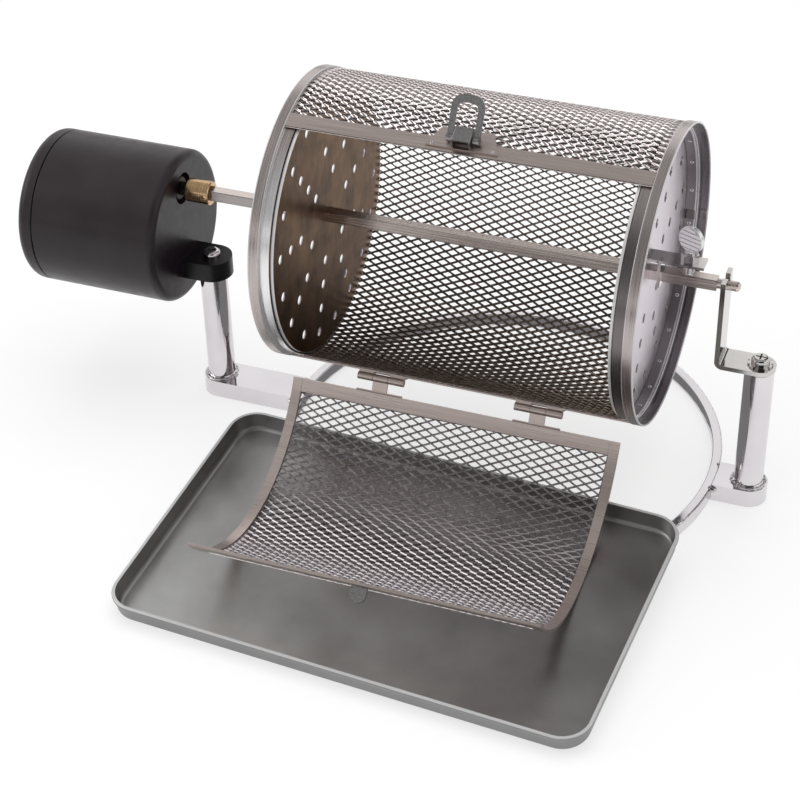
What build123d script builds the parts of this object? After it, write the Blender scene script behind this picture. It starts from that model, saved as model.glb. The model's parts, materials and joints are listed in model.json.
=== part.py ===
from build123d import *
import os
from math import atan2, cos, degrees, hypot, pi, radians, sin, tan

# Driving sizes in millimetres; X runs along the drum, -Y is the front, Z is up from the table
drum_radius = 75.0
drum_length = 193.0
axis_height = 125.0
ring_radius = 117.0
can_radius = 25.0
motor_length = 80.0
tray_width = 246.0
tray_depth = 149.6

# Fits between neighbours
seat_gap = 0.1
running_gap = 0.05
fuse = 0.2
cut_over = 1.0

# Drum shell
drum_x = -9.4
sheet = 0.8
mesh_sheet = 1.0
ring_width = 5.4
band_width = 11.0
band_round = 0.35
pan_inset = 11.5
flange_width = 5.5
lip_low = -57.0
lip_high = 64.0
upper_strip_width = 8.0
lower_strip_width = 3.6

# Holes of the end pans: rings spread evenly, so many holes in each
hole_radius = 2.5
first_hole_ring = 24.0
hole_ring_inset = 9.2
hole_turn = 11.0
holes_per_ring = (6, 9, 9, 18)

# Drive rod, coupling and fork
rod_side = 6.0
journal_radius = 2.5
coupling_radius = 6.25
coupling_length = 13.2
coupling_to_drum = 53.8
set_screw_radius = 1.5
strap_to_drum = 25.0
strap_sheet = 2.4
strap_width = 16.0
strap_rise = 44.5
strap_above_axis = 5.0
strap_bend = 4.0
journal_overhang = 6.0
journal_dome = 2.0

# Stand
ring_bar = 5.0
ring_height = 8.0
arm_width = 20.0
arm_height = 10.0
post_radius = 7.5
weld_size = 1.6
edge_round = 0.8
post_to_motor = 13.6
post_to_strap = 21.4
shortest_arm = 16.0

# Screws
screw_radius = 2.5
screw_length = 10.0
screw_head_radius = 4.6
screw_head_height = 3.2
head_round = 0.6
recess_long = 5.0
recess_wide = 1.0
recess_deep = 1.6
lug_screw_turn = 30.0
washer_radius = 6.3
washer_sheet = 1.0
washer_teeth = 10

# Motor housing
motor_to_coupling = 3.7
housing_margin = 16.0
motor_wall = 2.5
motor_front = 3.0
motor_round = 4.0
cap_round = 5.0
seam_round = 0.6
cap_depth = 9.4
shaft_inset = 17.6
lug_inset = 15.4
lug_height = 10.5
lug_radius = 10.8
recess_radius = 8.5
cap_screw_inset = 8.0
cap_boss_radius = 6.0
cap_boss_length = 14.0
small_screw_radius = 1.5
small_head_radius = 3.0
small_head_height = 1.8
small_screw_length = 9.0
grommet_radius = 4.0
grommet_flange = 6.0
grommet_bore = 2.4
grommet_inset = 17.0

# Gear motor inside the housing
can_wall = 1.0
can_gap = 0.6
can_length = 21.0
plate_sheet = 1.5
plate_boss_radius = 6.0
plate_boss_height = 2.0
ear_radius = 4.0
ear_screw_gap = 2.0
motor_screw_length = 3.8
shaft_radius = 3.5
pin_radius = 1.0
gear_module = 0.4
pinion_teeth = 12
wheel_teeth = 36
gear_width = 2.8
gear_space = 1.0
tooth_head = 0.8
tooth_foot = 1.2
tooth_share_tip = 0.22
tooth_share_root = 0.56
rotor_radius = 11.0
rotor_length = 8.5
coil_inner = 12.5

# Door, modelled closed and then swung open
door_clearance = 0.6
door_sheet = 1.4
door_overlap = 2.2
door_shift = -1.5
door_start = -53.0
door_end = 65.0
side_strip = 5.0
free_strip = 6.0
hinge_strip = 7.0
door_rest_gap = 0.4
door_search = 130.0
door_step = 0.02
keeper_width = 8.0
keeper_reach = 8.0
keeper_sheet = 1.2

# Hinges
hinge_angle = -58.5
hinge_lift = 3.0
hinge_length = 25.0
hinge_spread = 42.0
knuckle_radius = 2.0
knuckle_gap = 0.2
leaf_sheet = 1.0
drum_leaf_start = -68.0
drum_leaf_end = -61.5
door_leaf_start = -53.5
door_leaf_end = -48.5

# Latch
latch_x = drum_x - 1.6
plate_start = 65.4
latch_plate_low = 36.0
latch_plate_high = 26.0
latch_plate_length = 12.4
box_width = 9.4
box_length = 8.8
box_height = 6.0
box_angle = 68.7
pivot_lift = 2.3
loop_length = 21.0
loop_leg = 3.0
loop_bar = 4.0
loop_sheet = 1.0
loop_corner = 6.0
eye_corner = 3.0
loop_side_gap = 0.5
loop_lean = 30.0
pin_overhang = 0.5

# Clamp and thumb screw on the right end
clamp_sheet = 1.5
clamp_width = 9.6
clamp_length = 27.0
clamp_rise = 10.0
clamp_drop = 5.6
clamp_leg_place = 4.4
thumb_back = 8.0
thumb_radius = 2.4
thumb_head_radius = 6.8
thumb_head_sheet = 3.2
thumb_rise = 22.0
thumb_turn = -22.0
thumb_grooves = 5
groove_size = 0.8
nut_radius = 4.4
nut_height = 4.0

# Tray
tray_turn = -3.6
tray_shift = -4.0
tray_before_belly = 12.8
tray_height = 10.5
tray_sheet = 0.8
tray_rim = 0.9
tray_rim_height = 1.8
tray_rim_round = 0.7
tray_taper = 4.0
tray_corner = 15.0
tray_bottom_round = 3.0

# Places along X and Z that follow from the sizes above
drum_left = drum_x - drum_length / 2
drum_right = drum_x + drum_length / 2
drive_length = coupling_to_drum + coupling_length + motor_to_coupling
left_post_x = min(drum_left - drive_length + post_to_motor, -ring_radius - shortest_arm)
right_post_x = max(drum_right + strap_to_drum + post_to_strap, ring_radius + shortest_arm)
strap_x = right_post_x - post_to_strap
motor_face = left_post_x - post_to_motor
coupling_left = motor_face + motor_to_coupling
coupling_right = coupling_left + coupling_length
coupling_middle = (coupling_left + coupling_right) / 2
motor_back = motor_face - motor_length
motor_seam = motor_back + cap_depth
motor_radius = can_radius + housing_margin
motor_z = axis_height - motor_radius + shaft_inset
grommet_z = motor_z - motor_radius + grommet_inset
cap_screw_ring = motor_radius - cap_screw_inset
left_post_top = motor_z - motor_radius + lug_inset
right_post_top = axis_height - strap_rise
skin_outer = drum_radius - sheet - seat_gap
ledge_outer = skin_outer - mesh_sheet - seat_gap
pan_radius = ledge_outer - sheet - seat_gap
screw_hole = screw_radius + running_gap
small_hole = small_screw_radius + running_gap
shaft_hole = shaft_radius + running_gap
thumb_hole = thumb_radius + running_gap
pin_hole = pin_radius + running_gap / 2
pin_bore = pin_radius + running_gap
door_inner = drum_radius + door_clearance
door_outer = door_inner + door_sheet
hinge_radius = drum_radius + hinge_lift
can_z = motor_z + motor_radius - motor_wall - can_gap - can_radius
ear_reach = can_radius + small_head_radius + ear_screw_gap
plate_back = motor_face - motor_front - seat_gap - plate_sheet
can_back = plate_back - can_length
output_plane = plate_back - gear_space
rotor_plane = output_plane - gear_width - gear_space


def on_drum(radius, angle):
    """Point (y, z) on a circle round the drum axis; the angle rises from the front."""
    return (-radius * cos(radians(angle)), axis_height + radius * sin(radians(angle)))


def across(x):
    """Sketch plane that faces along X: its own x is Y and its own y is Z."""
    return Plane(origin=(x, 0, 0), x_dir=(0, 1, 0), z_dir=(1, 0, 0))


def block(x0, x1, y0, y1, z0, z1):
    """Box between two corners."""
    centre = Pos((x0 + x1) / 2, (y0 + y1) / 2, (z0 + z1) / 2)
    return centre * Box(x1 - x0, y1 - y0, z1 - z0)


def bar_x(radius, x0, x1, y, z):
    """Round bar along X."""
    return Pos((x0 + x1) / 2, y, z) * Rot(0, 90, 0) * Cylinder(radius, x1 - x0)


def bar_z(radius, z0, z1, x, y):
    """Round bar along Z."""
    return Pos(x, y, (z0 + z1) / 2) * Cylinder(radius, z1 - z0)


def hole_x(radius, x0, x1, y, z):
    """Round cutter along X that runs a little past both ends."""
    return bar_x(radius, x0 - cut_over, x1 + cut_over, y, z)


def hole_z(radius, z0, z1, x, y):
    """Round cutter along Z that runs a little past both ends."""
    return bar_z(radius, z0 - cut_over, z1 + cut_over, x, y)


def tube_x(outer, inner, x0, x1, y, z):
    """Round tube along X."""
    return bar_x(outer, x0, x1, y, z) - hole_x(inner, x0, x1, y, z)


def arc_shell(inner, outer, start, end, x0, x1):
    """Curved sheet round the drum axis, from one angle to another."""
    middle = (start + end) / 2
    outline = [
        ThreePointArc(on_drum(outer, start), on_drum(outer, middle), on_drum(outer, end)),
        Line(on_drum(outer, end), on_drum(inner, end)),
        ThreePointArc(on_drum(inner, end), on_drum(inner, middle), on_drum(inner, start)),
        Line(on_drum(inner, start), on_drum(outer, start)),
    ]
    return extrude(across(x0) * make_face(outline), x1 - x0, dir=(1, 0, 0))


def degrees_along(length, radius):
    """Angle in degrees of an arc of this length."""
    return degrees(length / radius)


def pan_screw(head_radius, head_height, shank_radius, length):
    """Pan-head screw with a crossed recess; its head rests on z = 0 and its shank points down."""
    head = Pos(0, 0, head_height / 2) * Cylinder(head_radius, head_height)
    head = fillet(head.edges().group_by(Axis.Z)[-1], head_height * head_round)
    scale = head_radius / screw_head_radius
    floor = head_height - recess_deep * scale
    for turn in (0, 90):
        slot = Box(recess_long * scale, recess_wide * scale, head_height)
        head -= Pos(0, 0, floor + head_height / 2) * Rot(0, 0, turn) * slot
    return head + bar_z(shank_radius, -length, fuse, 0, 0)


# Base ring and arms
def base_ring():
    ring = bar_z(ring_radius, 0, ring_height, 0, 0)
    ring -= hole_z(ring_radius - ring_bar, 0, ring_height, 0, 0)
    return fillet(ring.edges(), edge_round)


def arm(post_x):
    """Flat bar from the ring to a post, round at the post and hollowed to the ring."""
    half = arm_width / 2
    bar = block(min(0, post_x), max(0, post_x), -half, half, 0, arm_height)
    bar += bar_z(half, 0, arm_height, post_x, 0)
    bar -= hole_z(ring_radius + running_gap, 0, arm_height, 0, 0)
    return bar


def post(x, top):
    """Round post on its arm, with a weld collar at the foot and a threaded hole in the top."""
    body = bar_z(post_radius, arm_height, top, x, 0)
    body = chamfer(body.edges().group_by(Axis.Z)[-1], edge_round)
    collar = Cone(post_radius + weld_size, post_radius, weld_size)
    body += Pos(x, 0, arm_height + weld_size / 2) * collar
    depth = screw_length + cut_over
    body -= bar_z(screw_hole, top - depth, top + cut_over, x, 0)
    return body


# Right bearing
def bearing_bracket():
    """Bent strap: a round-ended foot on the post and an upright with a fork for the rod's end."""
    top = axis_height + strap_above_axis
    foot = right_post_top
    end = right_post_x + strap_width
    inside_x = strap_x + strap_sheet
    inside_z = foot + strap_sheet
    corners = [(strap_x, foot), (end, foot), (end, inside_z), (inside_x, inside_z), (inside_x, top)]
    corners.append((strap_x, top))
    side = Plane(origin=(0, strap_width / 2, 0), x_dir=(1, 0, 0), z_dir=(0, -1, 0))
    profile = extrude(side * make_face(Polyline(*corners, close=True)), strap_width, dir=(0, -1, 0))
    bends = profile.edges().filter_by(Axis.Y)
    inner = bends.sort_by_distance((inside_x, 0, inside_z))[0]
    profile = fillet(inner, strap_bend - strap_sheet)
    outer = profile.edges().filter_by(Axis.Y).sort_by_distance((strap_x, 0, foot))[0]
    profile = fillet(outer, strap_bend)
    half = strap_width / 2
    keep = block(strap_x - cut_over, right_post_x, -half, half, foot - cut_over, top + cut_over)
    keep += hole_z(half, foot, top, right_post_x, 0)
    bracket = profile & keep
    slot = journal_radius + running_gap
    bracket -= hole_x(slot, strap_x, inside_x, 0, axis_height)
    bracket -= block(strap_x - cut_over, inside_x + cut_over, -slot, slot, axis_height, top + cut_over)
    bracket -= hole_z(screw_hole, foot, foot + strap_sheet, right_post_x, 0)
    return bracket


def toothed_washer():
    """Washer with notches all round its edge."""
    base = right_post_top + strap_sheet + running_gap
    ring = bar_z(washer_radius, base, base + washer_sheet, 0, 0)
    ring -= hole_z(screw_hole, base, base + washer_sheet, 0, 0)
    for number in range(washer_teeth):
        notch = Pos(washer_radius, 0, base) * Box(edge_round * 2, edge_round, 4 * washer_sheet)
        ring -= Rot(0, 0, number * 360 / washer_teeth) * notch
    return Pos(right_post_x, 0, 0) * ring


# Motor housing
def motor_housing():
    """Moulded cup with a lug on its front face; open at the rear."""
    body = bar_x(motor_radius, motor_seam, motor_face, 0, motor_z)
    body = fillet(body.edges().group_by(Axis.X)[-1], motor_round)
    body = fillet(body.edges().group_by(Axis.X)[0], seam_round)
    lug_top = left_post_top + lug_height
    lug = block(motor_face - motor_front, left_post_x, -lug_radius, lug_radius, left_post_top, lug_top)
    lug += bar_z(lug_radius, left_post_top, lug_top, left_post_x, 0)
    body += lug
    inside = motor_radius - motor_wall
    body -= bar_x(inside, motor_seam - cut_over, motor_face - motor_front, 0, motor_z)
    body -= hole_x(recess_radius, motor_face - motor_front, motor_face, 0, axis_height)
    body -= hole_z(screw_hole, left_post_top, lug_top, left_post_x, 0)
    front_inside = motor_face - motor_front
    for side in (-1, 1):
        body -= bar_x(small_hole, front_inside - cut_over, motor_face - edge_round, side * ear_reach, can_z)
    for y, z in cap_screw_places():
        boss = bar_x(cap_boss_radius, motor_seam, motor_seam + cap_boss_length, y, z)
        boss -= bar_x(small_hole, motor_seam - cut_over, motor_seam + cap_boss_length - motor_wall, y, z)
        body += boss & bar_x(motor_radius - motor_wall / 2, motor_seam, motor_face, 0, motor_z)
    return body


def cap_screw_places():
    """Three places (y, z) round the rear cap."""
    turns = (90, 210, 330)
    return [(cap_screw_ring * cos(radians(t)), motor_z + cap_screw_ring * sin(radians(t))) for t in turns]


def rear_cap():
    """Shallow cap that closes the housing, with three screw holes and the cord hole."""
    cap = bar_x(motor_radius, motor_back, motor_seam - seat_gap, 0, motor_z)
    cap = fillet(cap.edges().group_by(Axis.X)[0], cap_round)
    cap = fillet(cap.edges().group_by(Axis.X)[-1], seam_round)
    inside = motor_radius - motor_wall - cap_boss_radius * 2
    cap -= bar_x(inside, motor_back + motor_wall, motor_seam, 0, motor_z)
    head_hole = small_head_radius + running_gap
    for y, z in cap_screw_places():
        cap -= bar_x(small_hole, motor_back - cut_over, motor_seam, y, z)
        cap -= bar_x(head_hole, motor_back - cut_over, motor_back + small_head_height, y, z)
    cap -= bar_x(grommet_radius + running_gap, motor_back - cut_over, motor_seam, 0, grommet_z)
    return cap


def cap_screws():
    length = small_screw_length + cap_depth
    screw = pan_screw(small_head_radius, small_head_height, small_screw_radius, length)
    turned = Rot(0, -90, 0) * screw
    seat = motor_back + small_head_height - running_gap
    return [Pos(seat, y, z) * turned for y, z in cap_screw_places()]


def cord_grommet():
    ring = bar_x(grommet_radius, motor_back - seat_gap, motor_back + motor_wall * 2, 0, grommet_z)
    ring += bar_x(grommet_flange, motor_back - motor_wall, motor_back - running_gap, 0, grommet_z)
    ring -= bar_x(grommet_bore, motor_back - motor_wall - cut_over, motor_seam, 0, grommet_z)
    return ring


# Gear motor
def motor_can():
    """Steel cup behind the gearbox plate."""
    can = bar_x(can_radius, can_back, plate_back - running_gap, 0, can_z)
    can -= bar_x(can_radius - can_wall, can_back + can_wall, plate_back + cut_over, 0, can_z)
    can -= hole_x(pin_hole, can_back, can_back + can_wall, 0, can_z)
    return can


def gearbox_plate():
    """Plate with two ears, a bearing boss for the shaft and a hole for the idler's pin."""
    front = plate_back + plate_sheet
    plate = bar_x(can_radius, plate_back, front, 0, can_z)
    plate += block(plate_back, front, -ear_reach, ear_reach, can_z - ear_radius, can_z + ear_radius)
    for side in (-1, 1):
        plate += bar_x(ear_radius, plate_back, front, side * ear_reach, can_z)
        plate -= hole_x(small_hole, plate_back, front, side * ear_reach, can_z)
    plate += bar_x(plate_boss_radius, front - running_gap, front + plate_boss_height, 0, axis_height)
    plate -= hole_x(shaft_hole, plate_back, front + plate_boss_height, 0, axis_height)
    y, z = idler_place()
    plate -= hole_x(pin_hole, plate_back, front, y, z)
    return plate


def motor_screws():
    screw = pan_screw(small_head_radius, small_head_height, small_screw_radius, motor_screw_length)
    turned = Rot(0, -90, 0) * screw
    return [Pos(plate_back - running_gap, side * ear_reach, can_z) * turned for side in (-1, 1)]


def gear_distance():
    """Distance between the axes of a meshed pinion and wheel."""
    return gear_module * (pinion_teeth + wheel_teeth) / 2


def idler_place():
    """Idler axis (y, z): at gear distance from both the rotor axis and the shaft axis."""
    rise = (axis_height - can_z) / 2
    return ((gear_distance() ** 2 - rise ** 2) ** 0.5, can_z + rise)


def gear(teeth, turn, x0, x1, y, z):
    """Straight-sided spur gear along X with one tooth pointing at this angle."""
    pitch = 2 * pi / teeth
    middle_radius = gear_module * teeth / 2
    tip = middle_radius + tooth_head * gear_module
    root = middle_radius - tooth_foot * gear_module
    points = []
    for tooth in range(teeth):
        centre = radians(turn) + tooth * pitch
        for radius, share in ((root, -tooth_share_root), (tip, -tooth_share_tip), (tip, tooth_share_tip),
                              (root, tooth_share_root)):
            angle = centre + share * pitch / 2
            points.append((y + radius * cos(angle), z + radius * sin(angle)))
    return extrude(across(x0) * make_face(Polyline(*points, close=True)), x1 - x0, dir=(1, 0, 0))


def rotor():
    """Magnet and pinion in one, turning on a fixed pin."""
    y, z = idler_place()
    toward_idler = degrees(atan2(z - can_z, y))
    back = can_back + can_wall + gear_space / 2
    body = bar_x(rotor_radius, back, back + rotor_length, 0, can_z)
    hub = gear_module * pinion_teeth / 2 - tooth_foot * gear_module
    body += bar_x(hub, back, rotor_plane, 0, can_z)
    body += gear(pinion_teeth, toward_idler, rotor_plane - gear_width, rotor_plane, 0, can_z)
    return body - bar_x(pin_bore, can_back, rotor_plane + cut_over, 0, can_z)


def idler_gear():
    """Wheel driven by the rotor and, in front of it, the pinion that drives the output wheel."""
    y, z = idler_place()
    toward_rotor = degrees(atan2(can_z - z, -y)) + 180 / wheel_teeth
    toward_shaft = degrees(atan2(axis_height - z, -y))
    body = gear(wheel_teeth, toward_rotor, rotor_plane - gear_width, rotor_plane, y, z)
    hub = gear_module * pinion_teeth / 2 - tooth_foot * gear_module
    body += bar_x(hub, rotor_plane - gear_width, output_plane, y, z)
    body += gear(pinion_teeth, toward_shaft, output_plane - gear_width, output_plane, y, z)
    return body - hole_x(pin_bore, rotor_plane - gear_width, output_plane, y, z)


def output_gear():
    y, z = idler_place()
    toward_idler = degrees(atan2(z - axis_height, y)) + 180 / wheel_teeth
    wheel = gear(wheel_teeth, toward_idler, output_plane - gear_width, output_plane, 0, axis_height)
    return wheel - hole_x(shaft_hole, output_plane - gear_width, output_plane, 0, axis_height)


def gear_pins():
    y, z = idler_place()
    idler_pin = bar_x(pin_radius, rotor_plane - gear_width - gear_space / 2, plate_back + plate_sheet, y, z)
    rotor_pin = bar_x(pin_radius, can_back, rotor_plane + gear_space / 2, 0, can_z)
    return [idler_pin, rotor_pin]


def stator_coil():
    back = can_back + can_wall + seat_gap
    outer = can_radius - can_wall - seat_gap
    return tube_x(outer, coil_inner, back, back + rotor_length + gear_space, 0, can_z)


# Drive line
def output_shaft():
    return bar_x(shaft_radius, output_plane - gear_width, coupling_middle - seat_gap, 0, axis_height)


def coupling():
    """Sleeve with a round bore for the shaft and a square bore for the rod."""
    body = bar_x(coupling_radius, coupling_left, coupling_right, 0, axis_height)
    body = chamfer(body.edges(), edge_round / 2)
    body -= bar_x(shaft_hole, coupling_left - cut_over, coupling_middle, 0, axis_height)
    half = rod_side / 2 + running_gap
    low, high = axis_height - half, axis_height + half
    body -= block(coupling_middle, coupling_right + cut_over, -half, half, low, high)
    for x in set_screw_places():
        body -= Pos(x, -coupling_radius, axis_height) * Rot(90, 0, 0) * Cylinder(
            set_screw_radius + running_gap, 2 * coupling_radius)
    return body


def set_screw_places():
    quarter = coupling_length / 4
    return (coupling_left + quarter, coupling_right - quarter)


def coupling_screws():
    """Headless screws in the coupling's front, each down to the shaft or the rod."""
    screws = []
    for x, depth in zip(set_screw_places(), (shaft_radius, rod_side / 2)):
        inner = depth + running_gap * 2
        length = coupling_radius - inner - seat_gap
        screw = Rot(90, 0, 0) * Cylinder(set_screw_radius, length)
        slot = Pos(0, -length / 2, 0) * Box(2 * set_screw_radius, edge_round, edge_round / 2)
        screws.append(Pos(x, -inner - length / 2, axis_height) * (screw - slot))
    return screws


def drive_rod():
    """Square bar from the coupling, turned down to a round journal with a domed tip."""
    half = rod_side / 2
    shoulder = strap_x - rod_side / 2
    bar = block(coupling_middle + seat_gap, shoulder, -half, half, axis_height - half, axis_height + half)
    bar = chamfer(bar.edges().filter_by(Axis.X), edge_round / 2)
    tip = strap_x + strap_sheet + journal_overhang
    journal = bar_x(journal_radius, shoulder - fuse, tip, 0, axis_height)
    journal = fillet(journal.edges().group_by(Axis.X)[-1], journal_dome)
    return bar + journal


# Drum
def end_pan(face_x, out):
    """Disc with rings of holes and a short flange; face_x is its outer face, out is +1 to the right."""
    disc = Circle(pan_radius) - Rectangle(rod_side + 2 * running_gap, rod_side + 2 * running_gap)
    step = (pan_radius - hole_ring_inset - first_hole_ring) / (len(holes_per_ring) - 1)
    for ring, count in enumerate(holes_per_ring):
        radius = first_hole_ring + ring * step
        disc -= PolarLocations(radius, count, start_angle=hole_turn) * Circle(hole_radius)
    plate = extrude(across(face_x) * Pos(0, axis_height) * disc, mesh_sheet, dir=(-out, 0, 0))
    x0, x1 = sorted((face_x - out * mesh_sheet / 2, face_x + out * flange_width))
    return plate + tube_x(pan_radius, pan_radius - mesh_sheet, x0, x1, 0, axis_height)


def rim_band(edge_x, out):
    """Rolled band of one drum end: a proud outer ring and, one step lower, the ledge that the mesh lies on."""
    wall = edge_x - out * (ring_width - sheet)
    step = edge_x - out * ring_width
    end = edge_x - out * band_width
    outside = [(edge_x, drum_radius), (step, drum_radius), (step, ledge_outer), (end, ledge_outer)]
    inside = [(end, ledge_outer - sheet), (wall, ledge_outer - sheet), (wall, drum_radius - sheet)]
    inside.append((edge_x, drum_radius - sheet))
    profile = make_face(Polyline(*outside, *inside, close=True))
    proud = [profile.vertices().sort_by_distance(outside[corner])[0] for corner in (0, 1, 3)]
    profile = fillet(proud, band_round)
    side = Plane(origin=(0, 0, axis_height), x_dir=(1, 0, 0), z_dir=(0, -1, 0))
    return revolve(side * profile, Axis((0, 0, axis_height), (1, 0, 0)))


def skin_ends():
    """Left and right ends (x) of the mesh and its edge strips, just inside the proud rings."""
    inset = ring_width + seat_gap
    return drum_left + inset, drum_right - inset


def drum_skin():
    x0, x1 = skin_ends()
    return arc_shell(skin_outer - mesh_sheet, skin_outer, lip_high, 360 + lip_low, x0, x1)


def upper_edge_strip():
    x0, x1 = skin_ends()
    end = lip_high + degrees_along(upper_strip_width, drum_radius)
    return arc_shell(drum_radius - sheet, drum_radius, lip_high, end, x0, x1)


def lower_edge_strip():
    x0, x1 = skin_ends()
    start = lip_low - degrees_along(lower_strip_width, drum_radius)
    return arc_shell(drum_radius - sheet, drum_radius, start, lip_low, x0, x1)


# Hinges
def hinge_centres():
    return (drum_x - hinge_spread, drum_x + hinge_spread)


def knuckles(centre):
    """X ranges of the three knuckles of one hinge, left to right."""
    third = hinge_length / 3
    starts = [centre - hinge_length / 2 + number * third for number in range(3)]
    return [(start + knuckle_gap / 2, start + third - knuckle_gap / 2) for start in starts]


def knuckle(x0, x1, bore):
    y, z = on_drum(hinge_radius, hinge_angle)
    return tube_x(knuckle_radius, bore, x0, x1, y, z)


def drum_hinge_leaf(centre):
    """Leaf on the drum's lower strip with the two outer knuckles."""
    inner = drum_radius + seat_gap
    outer = hinge_radius - knuckle_radius + 2 * seat_gap
    left, _, right = knuckles(centre)
    leaf = arc_shell(inner, outer, drum_leaf_start, drum_leaf_end, left[0], right[1])
    for x0, x1 in (left, right):
        leaf += arc_shell(inner, outer, drum_leaf_start, hinge_angle, x0, x1)
        leaf += knuckle(x0, x1, pin_bore)
    y, z = on_drum(hinge_radius, hinge_angle)
    return leaf - hole_x(pin_bore, left[0], right[1], y, z)


def door_hinge_leaf(centre):
    """Leaf on the door's hinge strip with the middle knuckle."""
    inner = door_outer + seat_gap
    outer = inner + leaf_sheet
    left, middle, right = knuckles(centre)
    leaf = arc_shell(inner, outer, door_leaf_start, door_leaf_end, left[0], right[1])
    leaf += arc_shell(inner, outer, hinge_angle, door_leaf_end, *middle)
    leaf += knuckle(*middle, pin_hole)
    y, z = on_drum(hinge_radius, hinge_angle)
    return leaf - hole_x(pin_hole, left[0], right[1], y, z)


def hinge_pin(centre):
    left, _, right = knuckles(centre)
    y, z = on_drum(hinge_radius, hinge_angle)
    return bar_x(pin_radius, left[0], right[1], y, z)


# Door, closed
def door_ends():
    inset = pan_inset - door_overlap
    return drum_left + inset + door_shift, drum_right - inset + door_shift


def door_side_strip(side):
    x0, x1 = door_ends()
    if side < 0:
        return arc_shell(door_inner, door_outer, door_start, door_end, x0, x0 + side_strip)
    return arc_shell(door_inner, door_outer, door_start, door_end, x1 - side_strip, x1)


def between_side_strips():
    x0, x1 = door_ends()
    return x0 + side_strip + seat_gap, x1 - side_strip - seat_gap


def door_free_strip():
    x0, x1 = between_side_strips()
    start = door_end - degrees_along(free_strip, door_outer)
    return arc_shell(door_inner, door_outer, start, door_end, x0, x1)


def door_hinge_strip():
    x0, x1 = between_side_strips()
    end = door_start + degrees_along(hinge_strip, door_outer)
    return arc_shell(door_inner, door_outer, door_start, end, x0, x1)


def door_mesh():
    x0, x1 = between_side_strips()
    start = door_start + degrees_along(hinge_strip + seat_gap, door_outer)
    end = door_end - degrees_along(free_strip + seat_gap, door_outer)
    middle = (door_inner + door_outer) / 2
    return arc_shell(middle - mesh_sheet / 2, middle + mesh_sheet / 2, start, end, x0, x1)


def door_keeper():
    """Half-round tab standing out from the middle of the free strip."""
    angle = door_end - degrees_along(free_strip / 2, door_outer)
    straight = keeper_reach - keeper_width / 2
    tab = Pos(0, straight / 2) * Rectangle(keeper_width, straight)
    tab += Pos(0, straight) * Circle(keeper_width / 2)
    y, z = on_drum(door_outer + seat_gap, angle)
    downward = (0, -sin(radians(angle)), -cos(radians(angle)))
    upright = Plane(origin=(latch_x, y, z), x_dir=(1, 0, 0), z_dir=downward)
    return upright * extrude(tab, keeper_sheet / 2, both=True)


# Latch on the drum's upper strip
def latch_frame(angle, radius):
    """Plane on the drum at this angle: x along X, y backwards round the drum, z outwards."""
    outward = (0, -cos(radians(angle)), sin(radians(angle)))
    return Plane(origin=(latch_x, *on_drum(radius, angle)), x_dir=(1, 0, 0), z_dir=outward)


def latch_plate():
    """Curved plate, wider toward the opening."""
    inner = drum_radius + seat_gap
    half = degrees_along(latch_plate_length / 2, drum_radius)
    low, high = latch_plate_low / 2, latch_plate_high / 2
    middle, end = plate_start + half, plate_start + 2 * half
    shell = arc_shell(inner, inner + sheet, plate_start, end, latch_x - low, latch_x + low)
    reach = latch_plate_length / 2
    corners = [(-low, -reach), (low, -reach), (high, reach), (-high, reach)]
    outline = latch_frame(middle, drum_radius) * make_face(Polyline(*corners, close=True))
    cutter = extrude(outline, 4 * sheet, both=True)
    return shell & cutter


def box_base():
    """Frame of the latch box, on top of the latch plate."""
    return latch_frame(box_angle, drum_radius + 2 * seat_gap + sheet)


def latch_box():
    """Folded sheet box, open below and toward the opening, drilled for the pin."""
    outer = Pos(0, 0, box_height / 2) * Box(box_width, box_length, box_height)
    outer = fillet(outer.edges().filter_by(Axis.Y).group_by(Axis.Z)[-1], edge_round)
    hollow = Pos(0, -sheet, box_height / 2 - sheet) * Box(box_width - 2 * sheet, box_length, box_height)
    hole = Pos(0, 0, pivot_lift) * Rot(0, 90, 0) * Cylinder(pin_hole, 2 * box_width)
    return box_base() * (outer - hollow - hole)


def latch_pin():
    length = box_width + 2 * (loop_side_gap + loop_leg + pin_overhang)
    return box_base() * (Pos(0, 0, pivot_lift) * Rot(0, 90, 0) * Cylinder(pin_radius, length))


def pivot_point():
    """Middle of the latch pin."""
    return (box_base() * Pos(0, 0, pivot_lift)).position


def latch_loop():
    """Flat loop on the pin: two legs beside the box and a round-cornered bar across their ends."""
    inner = box_width / 2 + loop_side_gap
    outer = inner + loop_leg
    frame = Pos(0, loop_length / 2) * Rectangle(2 * outer, loop_length)
    frame = fillet(frame.vertices().group_by(Axis.Y)[-1], loop_corner)
    eye = Pos(0, (loop_length - loop_bar) / 2) * Rectangle(2 * inner, loop_length - loop_bar)
    eye = fillet(eye.vertices().group_by(Axis.Y)[-1], eye_corner)
    solid = extrude(frame - eye, loop_sheet / 2, both=True)
    for side in (-1, 1):
        solid += Pos(side * (inner + outer) / 2, 0, 0) * Rot(0, 90, 0) * Cylinder(knuckle_radius, loop_leg)
    solid -= Rot(0, 90, 0) * Cylinder(pin_bore, 4 * outer)
    return Pos(*pivot_point()) * Rot(90 - loop_lean, 0, 0) * solid


# Clamp on the right end
def clamp_start():
    return drum_right - pan_inset + seat_gap


def thumb_x():
    return clamp_start() + clamp_length - thumb_back


def clamp_strap():
    """Flat strap standing out from the pan above the rod, with a leg down to a square hole for the rod."""
    x0 = clamp_start()
    half = clamp_width / 2
    top = axis_height + clamp_rise
    body = block(x0, x0 + clamp_length, -half, half, top - clamp_sheet, top)
    leg = x0 + clamp_leg_place
    body += block(leg, leg + clamp_sheet, -half, half, axis_height - clamp_drop, top)
    bore = rod_side / 2 + running_gap
    end = leg + clamp_sheet + cut_over
    body -= block(leg - cut_over, end, -bore, bore, axis_height - bore, axis_height + bore)
    return body - hole_z(thumb_hole, top - clamp_sheet, top, thumb_x(), 0)


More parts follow.
